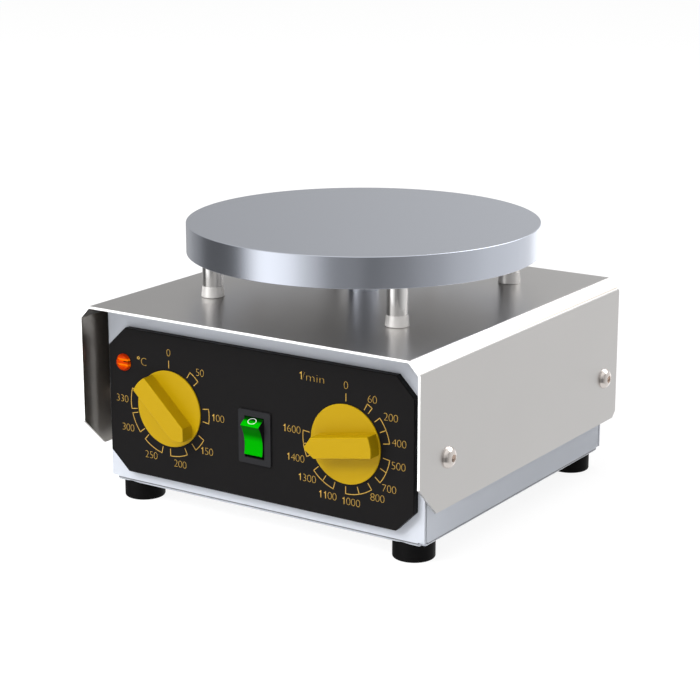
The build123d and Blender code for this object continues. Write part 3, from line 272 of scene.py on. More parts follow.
# Dials. A bracket has a first and a last angle, clockwise from the top, and may have a mark in its middle.
# A figure has its place in millimetres from the knob's axis, to the right and up.
TEMPERATURE_BRACKETS = [
    (32.6, 47.2, False),
    (81.4, 98.9, False),
    (121.4, 139.7, False),
    (154.6, 180.3, False),
    (193.2, 221.2, False),
    (231.5, 255.8, False),
    (261.1, 286.6, False),
]
TEMPERATURE_FIGURES = [
    ("0", 0.0, 24.7),
    ("50", 16.5, 18.4),
    ("100", 25.6, 0.0),
    ("150", 19.4, -15.6),
    ("200", 5.0, -23.9),
    ("250", -10.7, -22.5),
    ("300", -23.2, -12.1),
    ("330", -26.0, 0.6),
]
SPEED_BRACKETS = [
    (29.0, 36.2, False),
    (49.7, 80.0, True),
    (98.9, 129.3, True),
    (144.2, 180.5, True),
    (197.3, 228.5, True),
    (245.9, 276.3, True),
]
SPEED_FIGURES = [
    ("0", 0.0, 24.6),
    ("60", 12.5, 20.7),
    ("200", 21.2, 14.6),
    ("400", 25.2, 4.6),
    ("500", 24.9, -5.0),
    ("700", 20.6, -15.2),
    ("800", 15.1, -20.0),
    ("1000", 2.3, -24.1),
    ("1100", -9.1, -23.4),
    ("1300", -19.2, -17.9),
    ("1400", -24.9, -10.1),
    ("1600", -26.7, 1.9),
]

# Ring on the rocker. Its place is from the pivot, to the right, back and up, and the end face that it lies on
# looks forward and up.
RING_RADIUS = 2.1 * MM
RING_LINE = 0.29 * MM
RING_SQUEEZE = 0.74
RING_PLACE = Vector((-0.15 * MM, -3.13 * MM, 7.46 * MM))
END_FACE_FORWARD = 0.582
END_FACE_UP = 0.813


# Node trees


def add_node(tree, kind, **settings):
    """A node of a tree with its settings made."""
    made = tree.nodes.new(kind)
    for name, value in settings.items():
        setattr(made, name, value)
    return made


def feed(tree, socket, value):
    """Links an output to a socket, or sets the socket to a plain value."""
    if isinstance(value, bpy.types.NodeSocket):
        tree.links.new(value, socket)
    else:
        socket.default_value = value


def calculate(tree, operation, first, second=None, clamp=False):
    """A math node's output, from outputs or plain numbers."""
    made = add_node(tree, "ShaderNodeMath", operation=operation, use_clamp=clamp)
    feed(tree, made.inputs[0], first)
    if second is not None:
        feed(tree, made.inputs[1], second)
    return made.outputs[0]


def between(tree, value, low, high):
    """1 where a value lies between two limits, and 0 elsewhere."""
    over = calculate(tree, "GREATER_THAN", value, low)
    under = calculate(tree, "LESS_THAN", value, high)
    return calculate(tree, "MULTIPLY", over, under)


def ramp(tree, source, stops, interpolation="EASE"):
    """A colour ramp's output. Each stop is a place and a grey or a colour."""
    made = add_node(tree, "ShaderNodeValToRGB")
    made.color_ramp.interpolation = interpolation
    elements = made.color_ramp.elements
    while len(elements) < len(stops):
        elements.new(1.0)
    for element, (place, value) in zip(elements, stops):
        element.position = place
        grey = isinstance(value, (int, float))
        element.color = (value, value, value, 1.0) if grey else (*value, 1.0)
    tree.links.new(source, made.inputs["Fac"])
    return made.outputs["Color"]


def blend(tree, share, first, second, kind="RGBA"):
    """A mix of two colours, or of two greys with the kind FLOAT. Each is an output or a plain value."""
    made = add_node(tree, "ShaderNodeMix", data_type=kind)
    tree.links.new(share, made.inputs["Factor"])
    feed(tree, made.inputs["A"], first)
    feed(tree, made.inputs["B"], second)
    return made.outputs["Result"]


def mix_shaders(tree, share, first, second):
    """A mix of two shaders' outputs."""
    made = add_node(tree, "ShaderNodeMixShader")
    tree.links.new(share, made.inputs["Fac"])
    tree.links.new(first, made.inputs[1])
    tree.links.new(second, made.inputs[2])
    return made.outputs[0]


# Camera, room and lamps


def aim(thing, place, back):
    """Puts a camera or a lamp at a place, looking against a direction."""
    thing.location = place
    thing.rotation_euler = back.to_track_quat("Z", "Y").to_euler()


def link_object(name, data):
    """A new object of the scene, at the origin."""
    made = bpy.data.objects.new(name, data)
    bpy.context.scene.collection.objects.link(made)
    return made


def add_camera():
    data = bpy.data.cameras.new("photo_camera")
    data.lens = CAMERA_LENS
    data.sensor_width = CAMERA_SENSOR
    data.clip_start = CAMERA_NEAREST
    camera = link_object("photo_camera", data)
    aim(camera, CAMERA_PLACE, CAMERA_BACK)
    bpy.context.scene.camera = camera


def surround_patch(tree, turn, rise, turn_stops, rise_stops, light):
    """The light of one soft patch of the room, less than nought where it dims."""
    share = calculate(tree, "MULTIPLY", ramp(tree, turn, turn_stops), ramp(tree, rise, rise_stops))
    return calculate(tree, "MULTIPLY", share, light)


def studio_surround(tree):
    """The room as metal mirrors it: soft pale and dark walls, a pale ceiling and a softbox."""
    direction = add_node(tree, "ShaderNodeTexCoord").outputs["Generated"]
    parts = add_node(tree, "ShaderNodeSeparateXYZ")
    tree.links.new(direction, parts.inputs[0])
    rise = parts.outputs["Z"]
    turn = calculate(tree, "ARCTAN2", parts.outputs["Y"], parts.outputs["X"])
    turn = calculate(tree, "SUBTRACT", turn, CAMERA_AZIMUTH)
    turn = calculate(tree, "FRACT", calculate(tree, "DIVIDE", turn, 2 * math.pi))
    from_back = calculate(tree, "ABSOLUTE", calculate(tree, "SUBTRACT", turn, HALF_TURN))
    dim = surround_patch(tree, turn, rise, DIM_TURN, DIM_RISE, DIM_LIGHT)
    walls = calculate(tree, "ADD", ramp(tree, turn, WALLS), dim)
    softbox = surround_patch(tree, turn, rise, SOFTBOX_TURN, SOFTBOX_RISE, SOFTBOX_LIGHT)
    ceiling = calculate(tree, "ADD", ramp(tree, rise, CEILING), softbox)
    sides = blend(tree, ramp(tree, rise, ABOVE_WALLS), walls, ceiling, "FLOAT")
    fill = surround_patch(tree, from_back, rise, FILL_TURN, FILL_RISE, FILL_LIGHT)
    sides = calculate(tree, "ADD", sides, fill)
    below = ramp(tree, calculate(tree, "MULTIPLY", rise, -1.0), BELOW_WALLS)
    return blend(tree, below, sides, GROUND_LIGHT, "FLOAT")


def background(tree, colour, strength=1.0):
    """A background shader's output, from an output or a plain colour."""
    made = add_node(tree, "ShaderNodeBackground")
    feed(tree, made.inputs["Color"], colour)
    made.inputs["Strength"].default_value = strength
    return made.outputs[0]


def build_room():
    """White to the camera and through glass, the studio's walls in gloss, and an even light."""
    world = bpy.data.worlds.new("room")
    bpy.context.scene.world = world
    world.use_nodes = True
    tree = world.node_tree
    tree.nodes.clear()
    path = add_node(tree, "ShaderNodeLightPath").outputs
    even = background(tree, WHITE, ROOM_LIGHT)
    light = mix_shaders(tree, path["Is Glossy Ray"], even, background(tree, studio_surround(tree)))
    seen = calculate(tree, "MAXIMUM", path["Is Camera Ray"], path["Is Transmission Ray"])
    output = add_node(tree, "ShaderNodeOutputWorld")
    tree.links.new(mix_shaders(tree, seen, light, background(tree, WHITE)), output.inputs["Surface"])


def floor_paint():
    """White paint that glows to the camera alone, so that the floor looks nearly white and keeps a shadow."""
    material = bpy.data.materials.new("floor_white")
    material.use_nodes = True
    tree = material.node_tree
    tree.nodes.clear()
    paint = add_node(tree, "ShaderNodeBsdfDiffuse")
    paint.inputs["Color"].default_value = FLOOR_WHITE
    glow = add_node(tree, "ShaderNodeEmission")
    glow.inputs["Color"].default_value = WHITE
    glow.inputs["Strength"].default_value = FLOOR_GLOW
    path = add_node(tree, "ShaderNodeLightPath")
    share = calculate(tree, "MULTIPLY", path.outputs["Is Camera Ray"], FLOOR_SHARE)
    output = add_node(tree, "ShaderNodeOutputMaterial")
    tree.links.new(mix_shaders(tree, share, paint.outputs[0], glow.outputs[0]), output.inputs["Surface"])
    return material


def add_floor():
    """A wide floor, which metal doesn't mirror."""
    shape = bmesh.new()
    bmesh.ops.create_grid(shape, x_segments=1, y_segments=1, size=FLOOR_SIZE / 2)
    data = bpy.data.meshes.new("floor")
    shape.to_mesh(data)
    shape.free()
    data.materials.append(floor_paint())
    floor = link_object("floor", data)
    floor.visible_glossy = False


def add_lamp(name, place, size, power):
    """A soft square lamp that isn't mirrored in the metal."""
    data = bpy.data.lights.new(name, "AREA")
    data.shape = "SQUARE"
    data.size = size
    data.energy = power
    lamp = link_object(name, data)
    aim(lamp, Vector(place), Vector(place) - LAMP_TARGET)
    lamp.visible_glossy = False


# Finishes


def new_group(name, inputs, outputs):
    """An empty node group with its sockets. Each input is a name, a kind and a first value."""
    group = bpy.data.node_groups.new(name, "ShaderNodeTree")
    for label, kind, value in inputs:
        made = group.interface.new_socket(label, in_out="INPUT", socket_type=kind)
        made.default_value = value
    for label, kind in outputs:
        group.interface.new_socket(label, in_out="OUTPUT", socket_type=kind)
    return group, add_node(group, "NodeGroupInput"), add_node(group, "NodeGroupOutput")


def build_grain_group():
    """Fine grain over a slow, faint unevenness. Stretch draws the grain out into brush lines."""
    group, entry, leave = new_group(
        "surface_grain",
        [
            ("Colour", "NodeSocketColor", (0.5, 0.5, 0.5, 1.0)),
            ("Tone", "NodeSocketFloat", 0.05),
            ("Roughness", "NodeSocketFloat", 0.4),
            ("Unevenness", "NodeSocketFloat", 0.05),
            ("Stretch", "NodeSocketVector", NO_STRETCH),
            ("Grain size", "NodeSocketFloat", 2000.0),
            ("Relief", "NodeSocketFloat", 0.1),
        ],
        [
            ("Colour", "NodeSocketColor"),
            ("Roughness", "NodeSocketFloat"),
            ("Normal", "NodeSocketVector"),
        ],
    )
    place = add_node(group, "ShaderNodeTexCoord").outputs["Object"]
    drawn = add_node(group, "ShaderNodeVectorMath", operation="MULTIPLY")
    group.links.new(place, drawn.inputs[0])
    group.links.new(entry.outputs["Stretch"], drawn.inputs[1])
    fine = add_node(group, "ShaderNodeTexNoise")
    fine.inputs["Detail"].default_value = GRAIN_DETAIL
    group.links.new(drawn.outputs[0], fine.inputs["Vector"])
    group.links.new(entry.outputs["Grain size"], fine.inputs["Scale"])
    slow = add_node(group, "ShaderNodeTexNoise")
    slow.inputs["Scale"].default_value = SLOW_SCALE
    slow.inputs["Detail"].default_value = SLOW_DETAIL
    group.links.new(place, slow.inputs["Vector"])
    both = calculate(group, "ADD", fine.outputs["Fac"], slow.outputs["Fac"])
    swing = calculate(group, "SUBTRACT", both, 1.0)
    shade = calculate(group, "MULTIPLY", swing, entry.outputs["Tone"])
    bright = calculate(group, "ADD", shade, 1.0)
    tint = add_node(group, "ShaderNodeVectorMath", operation="SCALE")
    group.links.new(entry.outputs["Colour"], tint.inputs[0])
    group.links.new(bright, tint.inputs["Scale"])
    group.links.new(tint.outputs[0], leave.inputs["Colour"])
    rough = calculate(group, "MULTIPLY", swing, entry.outputs["Unevenness"])
    rough = calculate(group, "ADD", rough, entry.outputs["Roughness"], clamp=True)
    group.links.new(rough, leave.inputs["Roughness"])
    bump = add_node(group, "ShaderNodeBump")
    bump.inputs["Distance"].default_value = GRAIN_RELIEF
    group.links.new(entry.outputs["Relief"], bump.inputs["Strength"])
    group.links.new(fine.outputs["Fac"], bump.inputs["Height"])
    group.links.new(bump.outputs[0], leave.inputs["Normal"])
    return group


GRAIN = build_grain_group()


def shader_of(material):
    return material.node_tree.nodes["Principled BSDF"]


def new_material(name, metallic=0.0, **sockets):
    """A material with its plain values set on the shader's own sockets."""
    material = bpy.data.materials.new(name)
    material.use_nodes = True
    shader = shader_of(material)
    shader.inputs["Metallic"].default_value = metallic
    for label, value in sockets.items():
        shader.inputs[label.replace("_", " ")].default_value = value
    return material


def grained(name, colour, roughness, tone=0.06, unevenness=0.05, stretch=NO_STRETCH, grain=1500.0,
            relief=0.15, metallic=0.0, **sockets):
    """A material whose colour, gloss and relief carry the surface grain."""
    material = new_material(name, metallic, **sockets)
    tree = material.node_tree
    shader = shader_of(material)
    made = add_node(tree, "ShaderNodeGroup", node_tree=GRAIN)
    made.inputs["Colour"].default_value = (*colour, 1.0)
    made.inputs["Tone"].default_value = tone
    made.inputs["Roughness"].default_value = roughness
    made.inputs["Unevenness"].default_value = unevenness
    made.inputs["Stretch"].default_value = stretch
    made.inputs["Grain size"].default_value = grain
    made.inputs["Relief"].default_value = relief
    tree.links.new(made.outputs["Colour"], shader.inputs["Base Color"])
    tree.links.new(made.outputs["Roughness"], shader.inputs["Roughness"])
    tree.links.new(made.outputs["Normal"], shader.inputs["Normal"])
    return material


def object_place(tree, axis):
    """A point's place along one axis of the object, for a shade that follows a piece."""
    parts = add_node(tree, "ShaderNodeSeparateXYZ")
    tree.links.new(add_node(tree, "ShaderNodeTexCoord").outputs["Object"], parts.inputs[0])
    return parts.outputs[axis]


def place_share(tree, axis, low, high):
    """How far a point is between two places along an axis, from 0 to 1."""
    made = add_node(tree, "ShaderNodeMapRange", clamp=True)
    made.inputs["From Min"].default_value = low
    made.inputs["From Max"].default_value = high
    tree.links.new(object_place(tree, axis), made.inputs["Value"])
    return made.outputs["Result"]


def lay_colour(material, share, colour):
    """Lays a colour over a material's own, by a share from 0 to 1."""
    tree = material.node_tree
    socket = shader_of(material).inputs["Base Color"]
    below = socket.links[0].from_socket
    tree.links.new(blend(tree, share, below, colour), socket)


def cover_steel():
    """Satin sheet steel, with a darker, warmer painted reflection inside the flaps, and its bare cut edges at
    the front and the back painted white and not metal as a highlight.
    """
    material = grained("cover_satin_steel", COVER_COLOUR, 0.29, tone=0.05, unevenness=0.03, grain=2600.0,
                       relief=0.10, metallic=1.0)
    tree = material.node_tree
    across = calculate(tree, "ABSOLUTE", object_place(tree, "X"))
    along = calculate(tree, "ABSOLUTE", object_place(tree, "Y"))
    inside = between(tree, across, FLAP_INSIDE - FLAP_INSIDE_REACH, FLAP_INSIDE + FLAP_INSIDE_REACH)
    edge = calculate(tree, "GREATER_THAN", along, COVER_HIGH.y - CUT_EDGE_SKIN)
    # Painted reflection: the inside of the flaps darker and warmer
    lay_colour(material, inside, FLAP_INSIDE_PAINTED_REFLECTION)
    # Painted highlight: the bare cut edges white and not metal
    lay_colour(material, edge, CUT_EDGE_PAINTED_HIGHLIGHT)
    tree.links.new(calculate(tree, "SUBTRACT", 1.0, edge), shader_of(material).inputs["Metallic"])
    return material


def chassis_paint():
    """Light grey paint, with dark lines of painted shade in the open corners and along the bend round the
    floor.
    """
    material = grained("chassis_grey_paint", CHASSIS_COLOUR, 0.40, tone=0.02, relief=0.05, grain=2600.0,
                       Specular_IOR_Level=0.25)
    tree = material.node_tree
    depth = object_place(tree, "Y")
    from_front = calculate(tree, "SUBTRACT", depth, CHASSIS_LOW.y)
    from_back = calculate(tree, "SUBTRACT", CHASSIS_HIGH.y, depth)
    from_end = calculate(tree, "MINIMUM", from_front, from_back)
    across = calculate(tree, "ABSOLUTE", object_place(tree, "X"))
    outside = calculate(tree, "GREATER_THAN", across, CHASSIS_HIGH.x - SEAM_SKIN)
    seam = calculate(tree, "MULTIPLY", between(tree, from_end, SEAM_START, SEAM_END), outside)
    lowest = CHASSIS_LOW.z - FLOOR_DROP
    edge = between(tree, object_place(tree, "Z"), lowest + BEND_SHADE_START, lowest + BEND_SHADE_END)
    # Painted shade: dark lines in the corner seams, and along the bend round the floor where it turns into
    # shadow
    lay_colour(material, calculate(tree, "MAXIMUM", seam, edge), CHASSIS_PAINTED_SHADE_COLOUR)
    return material


def turned_aluminium():
    """Plate aluminium with the faint rings of its turning."""
    material = grained("plate_turned_aluminium", PLATE_COLOUR, 0.24, tone=0.02, unevenness=0.02, grain=900.0,
                       relief=0.02, metallic=1.0)
    tree = material.node_tree
    normal = shader_of(material).inputs["Normal"]
    place = add_node(tree, "ShaderNodeMapping")
    place.inputs["Location"].default_value = (-PLATE_AXIS.x, -PLATE_AXIS.y, 0.0)
    place.inputs["Scale"].default_value = (1.0, 1.0, 0.0)
    tree.links.new(add_node(tree, "ShaderNodeTexCoord").outputs["Object"], place.inputs["Vector"])
    rings = add_node(tree, "ShaderNodeTexWave", wave_type="RINGS", rings_direction="SPHERICAL")
    rings.inputs["Scale"].default_value = PLATE_RINGS
    rings.inputs["Distortion"].default_value = PLATE_RING_WANDER
    rings.inputs["Detail Scale"].default_value = PLATE_RING_DETAIL
    tree.links.new(place.outputs[0], rings.inputs["Vector"])
    bump = add_node(tree, "ShaderNodeBump")
    bump.inputs["Strength"].default_value = PLATE_RING_STRENGTH
    bump.inputs["Distance"].default_value = PLATE_RING_RELIEF
    tree.links.new(rings.outputs["Fac"], bump.inputs["Height"])
    tree.links.new(normal.links[0].from_socket, bump.inputs["Normal"])
    tree.links.new(bump.outputs[0], normal)
    return material


def rocker_painted_glow_and_shade():
    """Clear green plastic with its lamp's glow and its shade painted into the colour by height, and black
    painted shadow on its side faces.
    """
    material = new_material("rocker_green_painted_glow_and_shade", Roughness=0.25, Specular_IOR_Level=0.01)
    tree = material.node_tree
    # Painted glow and shade: the green brighter and darker by height
    shade = ramp(tree, place_share(tree, "Z", ROCKER_LOW, ROCKER_HIGH), ROCKER_PAINTED_GLOW_AND_SHADE, "LINEAR")
    tree.links.new(shade, shader_of(material).inputs["Base Color"])
    across = calculate(tree, "SUBTRACT", object_place(tree, "X"), ROCKER_PIVOT.x)
    side = calculate(tree, "GREATER_THAN", calculate(tree, "ABSOLUTE", across), ROCKER_SIDE)
    # Painted shadow: the side faces black
    lay_colour(material, side, ROCKER_SIDE_PAINTED_SHADOW)
    return material


def lens_painted_highlights_and_shade():
    """Clear orange lens over a lit lamp, with two bright bars painted as highlights and a dark slit painted
    as shade.
    """
    material = new_material("lamp_orange_lens_painted_highlights_and_shade", Roughness=0.15, Specular_IOR_Level=0.03)
    tree = material.node_tree
    rise = place_share(tree, "Z", LENS_LOW.z, LENS_HIGH.z)
    across = place_share(tree, "X", LENS_LOW.x, LENS_HIGH.x)
    # Painted highlights: two bright bars on the right part, with painted shade darker towards the top and
    # bottom
    shade = blend(tree, ramp(tree, across, LAMP_HIGHLIGHT_SIDE), LAMP_PLAIN, ramp(tree, rise, LAMP_PAINTED_HIGHLIGHT_BARS))
    tree.links.new(shade, shader_of(material).inputs["Base Color"])
    # Painted shade: a dark slit across the right part
    slit = calculate(tree, "MULTIPLY", ramp(tree, rise, LAMP_PAINTED_SHADE_SLIT), ramp(tree, across, LAMP_SHADE_SLIT_SIDE))
    lay_colour(material, slit, LAMP_SLIT_PAINTED_SHADE)
    return material


def coat(node_names, material):
    """Gives a material to CAD nodes."""
    for name in node_names:
        nodes[name].data.materials.clear()
        nodes[name].data.materials.append(material)


def at_corners(kind):
    """The names of the four nodes of a kind, one at each corner."""
    return [f"{kind}_{corner}" for corner in ("front_left", "front_right", "rear_left", "rear_right")]


def coat_outside():
    coat(["cover"], cover_steel())
    coat(["chassis"], chassis_paint())
    coat(["heating_plate", "lead_tube"], turned_aluminium())
    coat(["switch_rocker"], rocker_painted_glow_and_shade())
    coat(["lamp_lens"], lens_painted_highlights_and_shade())
    panel = grained("panel_satin_black", PANEL_BLACK, 0.45, tone=0.08, relief=0.05, grain=3000.0,
                    Specular_IOR_Level=0.06)
    coat(["front_panel"], panel)
    bezel = grained("bezel_grey_plastic", BEZEL_GREY, 0.50, tone=0.06, relief=0.06, grain=3000.0,
                    Specular_IOR_Level=0.05)
    coat(["switch_housing"], bezel)
    knob = grained("knob_golden_plastic", KNOB_GOLD, 0.45, tone=0.03, unevenness=0.04, relief=0.08,
                   grain=2200.0, Specular_IOR_Level=0.12)
    coat(["temperature_knob", "speed_knob"], knob)
    post = grained("post_polished_steel", POST_STEEL, 0.12, tone=0.02, unevenness=0.02, relief=0.01,
                   stretch=(1, 1, 20), grain=300.0, metallic=1.0)
    coat(at_corners("post"), post)
    collar = grained("collar_satin_aluminium", COLLAR_ALUMINIUM, 0.24, tone=0.02, relief=0.02, metallic=0.40)
    coat(["post_collars"], collar)
    rubber = grained("foot_black_rubber", RUBBER_BLACK, 0.55, tone=0.15, relief=0.15, grain=1600.0,
                     Specular_IOR_Level=0.08)
    coat(at_corners("foot"), rubber)
    screw = grained("screw_polished_steel", SCREW_STEEL, 0.16, tone=0.03, relief=0.02, metallic=1.0)
    coat(["cover_screws", "cover_spacers", "cover_nuts", "foot_screws", "foot_nuts", "backing_screws",
          "post_nuts", "motor_screws", "thermostat_screws", "inlet_screws", "carrier_set_screw",
          "potentiometer_nut", "lead_tube_clip"], screw)
    moulding = grained("moulding_black_plastic", MOULDING_BLACK, 0.42, relief=0.2, grain=2200.0,
                       Specular_IOR_Level=0.25)
    coat(["inlet_housing", "fuse_drawer", "lamp_body", "terminal_block"], moulding)
    contact = grained("contact_plated_brass", PLATED_BRASS, 0.22, metallic=1.0)
    coat(["inlet_pins", "switch_terminals"], contact)


def coat_inside():
    steel = grained("inner_plain_steel", PLAIN_STEEL, 0.35, metallic=1.0)
    coat(["heater_backing_plate", "motor_bracket", "motor_can", "motor_end_bell", "motor_core", "motor_shaft",
          "heater_element", "thermostat_body", "thermostat_spindle", "potentiometer_body",
          "potentiometer_shaft"], steel)
    fibre = grained("insulation_ceramic_fibre", FIBRE_WHITE, 0.9, grain=3000.0, relief=0.5)
    coat(["insulation_disc"], fibre)
    copper = grained("copper_wire", COPPER, 0.3, metallic=1.0)
    coat(["temperature_probe", "heater_leads"], copper)
    ferrite = grained("magnet_ferrite", FERRITE, 0.5, relief=0.3)
    coat(["magnets", "motor_stator"], ferrite)
    carrier = grained("carrier_milled_aluminium", MILLED_ALUMINIUM, 0.3, stretch=(10, 1, 1), grain=250.0,
                      metallic=1.0)
    coat(["magnet_carrier"], carrier)
    bronze = grained("bush_sintered_bronze", BRONZE, 0.45, grain=3000.0, metallic=1.0)
    coat(["motor_bushes"], bronze)
    laminate = grained("board_green_laminate", LAMINATE_GREEN, 0.4, stretch=(8, 1, 1), grain=400.0)
    coat(["control_board"], laminate)
    coat(["board_standoffs"], grained("standoff_natural_nylon", NYLON, 0.45))
    coat(["transformer"], grained("transformer_blue_resin", RESIN_BLUE, 0.4))
    coat(["capacitors"], grained("capacitor_dark_sleeve", SLEEVE_DARK, 0.3))


# Pieces that stand for solids


def new_piece(name, shape, material, body):
    """An object of a finished shape, which rides on a body."""
    data = bpy.data.meshes.new(name)
    shape.to_mesh(data)
    shape.free()
    data.materials.append(material)
    piece = link_object(name, data)
    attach(piece, body)
    return piece


def merged_copy(node):
    """A solid's shape with its loose triangles joined."""
    shape = bmesh.new()
    shape.from_mesh(nodes[node].data)
    bmesh.ops.remove_doubles(shape, verts=shape.verts[:], dist=MERGE_DISTANCE)
    return shape


def mark_flat_borders(data):
    """Keeps flat walls evenly shaded up to the bends: an edge between the two is marked sharp."""
    shape = bmesh.new()
    shape.from_mesh(data)
    for edge in shape.edges:
        square = [max(abs(value) for value in face.normal) > SQUARE_FACE for face in edge.link_faces]
        if any(square) and edge.calc_face_angle(0.0) > FLAT_BORDER:
            edge.smooth = False
    shape.to_mesh(data)
    shape.free()


def add_tray():
    """The chassis tray with its floor lower and its corner notches smaller than in the CAD."""
    shape = merged_copy("chassis")
    floor = [vert for vert in shape.verts if vert.co.z < BEND_TOP]
    notches = [vert for vert in shape.verts if abs(vert.co.z - NOTCH_TOP) < NOTCH_REACH]
    bmesh.ops.translate(shape, verts=floor, vec=(0, 0, -FLOOR_DROP))
    bmesh.ops.translate(shape, verts=notches, vec=(0, 0, -NOTCH_DROP))
    paint = nodes["chassis"].data.materials[0]
    tray = new_piece("chassis_tray", shape, paint, "housing")
    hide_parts("chassis")
    tray.data.shade_smooth()
    tray.data.set_sharp_from_angle(angle=BEND_ANGLE)
    mark_flat_borders(tray.data)


def add_panel():
    """The front panel, out to the tray's corner on the left."""
    shape = merged_copy("front_panel")
    edge = [vert for vert in shape.verts if vert.co.x < PANEL_LOW.x + PANEL_EDGE]
    bmesh.ops.translate(shape, verts=edge, vec=(-PANEL_REACH, 0, 0))
    black = nodes["front_panel"].data.materials[0]
    panel = new_piece("panel_plate", shape, black, "housing")
    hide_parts("front_panel")


# Printed dials and ring


def draw_bar(shape, angle):
    """A line along a radius, between the marks' two circles. The angle runs clockwise from the top."""
    grid = bmesh.ops.create_grid(shape, x_segments=1, y_segments=1, size=0.5)["verts"]
    bmesh.ops.scale(shape, verts=grid, vec=(PRINT_LINE, MARK_OUTER - MARK_INNER, 1))
    bmesh.ops.translate(shape, verts=grid, vec=(0, (MARK_INNER + MARK_OUTER) / 2, 0))
    turn = Matrix.Rotation(math.radians(-angle), 3, "Z")
    bmesh.ops.rotate(shape, verts=grid, cent=(0, 0, 0), matrix=turn)


def draw_arc(shape, start, end):
    """A line along the marks' outer circle, between two angles."""
    low = shape.verts.new((0, MARK_OUTER - PRINT_LINE, 0))
    high = shape.verts.new((0, MARK_OUTER, 0))
    edge = shape.edges.new((low, high))
    turn = Matrix.Rotation(math.radians(-start), 3, "Z")
    bmesh.ops.rotate(shape, verts=[low, high], cent=(0, 0, 0), matrix=turn)
    sweep = math.radians(end - start)
    steps = max(2, round((end - start) / ARC_STEP))
    line = [low, high, edge]
    bmesh.ops.spin(shape, geom=line, cent=(0, 0, 0), axis=(0, 0, -1), angle=sweep, steps=steps)


def draw_letters(shape, words, place, height, width=None):
    """Lettering centred on a place. A nought has the height given, and the width too where there is one."""
    curve = bpy.data.curves.new("lettering", "FONT")
    curve.body = "0"
    curve.resolution_u = LETTER_STEPS
    curve.offset = LETTER_THINNING
    letters = link_object("lettering", curve)
    bpy.context.view_layer.update()
    tall = height / letters.dimensions.y
    wide = width / letters.dimensions.x if width else tall
    curve.body = words
    bpy.context.view_layer.update()
    flat = bpy.data.meshes.new_from_object(letters)
    first = len(shape.verts)
    shape.from_mesh(flat)
    shape.verts.ensure_lookup_table()
    made = shape.verts[first:]
    low = Vector([min(vert.co[axis] for vert in made) for axis in range(3)])
    high = Vector([max(vert.co[axis] for vert in made) for axis in range(3)])
    bmesh.ops.translate(shape, verts=made, vec=-(low + high) / 2)
    bmesh.ops.scale(shape, verts=made, vec=(wide, tall, 1))
    bmesh.ops.translate(shape, verts=made, vec=(*place, 0))
    bpy.data.objects.remove(letters)
    bpy.data.meshes.remove(flat)


def draw_one(shape, place, height):
    """A figure one with a flag, its height's middle at a place."""
    made = [shape.verts.new((across, up - 0.5, 0)) for across, up in FIGURE_ONE]
    shape.faces.new(made)
    bmesh.ops.scale(shape, verts=made, vec=(height, height, 1))
    bmesh.ops.translate(shape, verts=made, vec=(*place, 0))


def draw_number(shape, digits, x, y):
    """Figures at an even pitch, centred on a place."""
    for index, digit in enumerate(digits):
        place = (x + (index - (len(digits) - 1) / 2) * DIGIT_PITCH, y)
        if digit == "1":
            draw_one(shape, place, DIGIT_HEIGHT)
        else:
            draw_letters(shape, digit, place, DIGIT_HEIGHT, DIGIT_WIDTH)


def draw_ring(shape, place, radius, line):
    """A flat ring about a place."""
    middle = Matrix.Translation((*place, 0))
    rims = []
    for size in (radius, radius - line):
        circle = bmesh.ops.create_circle(shape, segments=RING_SEGMENTS, radius=size, matrix=middle)
        rims += circle["verts"]
    edges = list({edge for vert in rims for edge in vert.link_edges})
    bmesh.ops.bridge_loops(shape, edges=edges)


def draw_degrees(shape):
    draw_ring(shape, DEGREE_PLACE, DEGREE_RADIUS, PRINT_LINE)
    draw_letters(shape, "C", CELSIUS_PLACE, UNIT_HEIGHT)


def draw_speed_unit(shape):
    draw_one(shape, UNIT_ONE_PLACE, UNIT_HEIGHT)
    draw_letters(shape, "/min", PER_MINUTE_PLACE, UNIT_HEIGHT, PER_MINUTE_WIDTH)


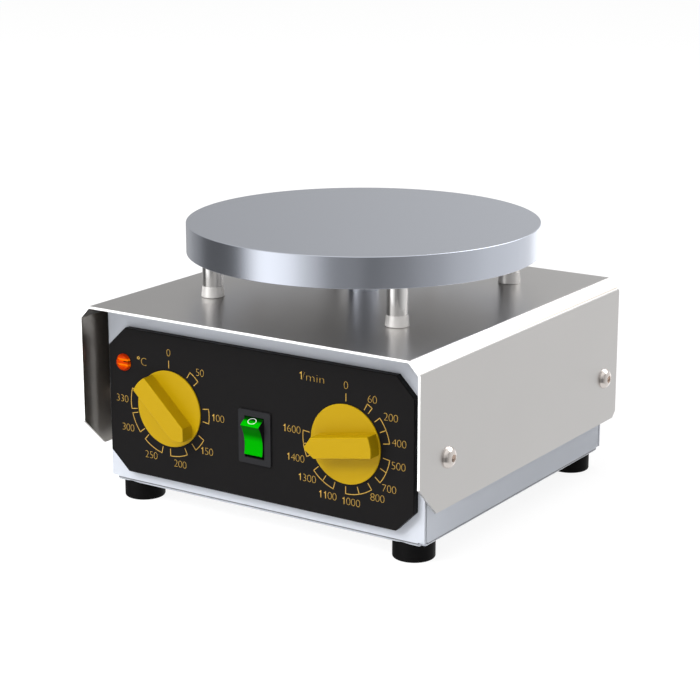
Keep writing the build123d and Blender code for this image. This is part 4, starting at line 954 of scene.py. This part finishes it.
def add_print(name, shape, place, material, body):
    """Gives a flat drawing the print's thickness and sets it in place."""
    lifted = bmesh.ops.extrude_face_region(shape, geom=shape.faces[:])["geom"]
    moved = [item for item in lifted if isinstance(item, bmesh.types.BMVert)]
    bmesh.ops.translate(shape, verts=moved, vec=(0, 0, PRINT_THICKNESS))
    bmesh.ops.recalc_face_normals(shape, faces=shape.faces[:])
    shape.transform(place)
    new_piece(name, shape, material, body)


def add_dial(name, joint, brackets, figures, draw_unit, ink):
    """A printed dial about a knob's axis, on the panel's face."""
    shape = bmesh.new()
    draw_bar(shape, 0)
    for start, end, split in brackets:
        draw_arc(shape, start, end)
        draw_bar(shape, start)
        draw_bar(shape, end)
        if split:
            draw_bar(shape, (start + end) / 2)
    for digits, x, y in figures:
        draw_number(shape, digits, x * MM, y * MM)
    draw_unit(shape)
    middle = Vector(joints[joint]["pos_m"])
    upright = Matrix.Rotation(math.radians(90), 4, "X")
    place = Matrix.Translation((middle.x, PANEL_LOW.y, middle.z)) @ upright
    add_print(name, shape, place, ink, "housing")


def add_dials():
    ink = grained("print_gold_ink", GOLD_INK, 0.45, tone=0.10, relief=0.1, grain=3000.0,
                  Specular_IOR_Level=0.15)
    add_dial("temperature_dial_print", "temperature_turn", TEMPERATURE_BRACKETS, TEMPERATURE_FIGURES,
             draw_degrees, ink)
    add_dial("speed_dial_print", "speed_turn", SPEED_BRACKETS, SPEED_FIGURES, draw_speed_unit, ink)


def add_ring():
    """The white ring on the end of the rocker that stands out."""
    shape = bmesh.new()
    draw_ring(shape, (0, 0), RING_RADIUS, RING_LINE)
    bmesh.ops.scale(shape, verts=shape.verts[:], vec=(1, RING_SQUEEZE, 1))
    tilt = math.atan2(END_FACE_FORWARD, END_FACE_UP)
    place = Matrix.Translation(ROCKER_PIVOT + RING_PLACE) @ Matrix.Rotation(tilt, 4, "X")
    ink = grained("ring_white_ink", WHITE_INK, 0.40, tone=0.05, relief=0.1, grain=3000.0)
    add_print("rocker_ring_print", shape, place, ink, "rocker")


add_camera()
build_room()
add_floor()
for lamp_values in LAMPS:
    add_lamp(*lamp_values)
coat_outside()
coat_inside()
add_tray()
add_panel()
add_dials()
add_ring()

view = bpy.context.scene.view_settings
view.view_transform = "Standard"
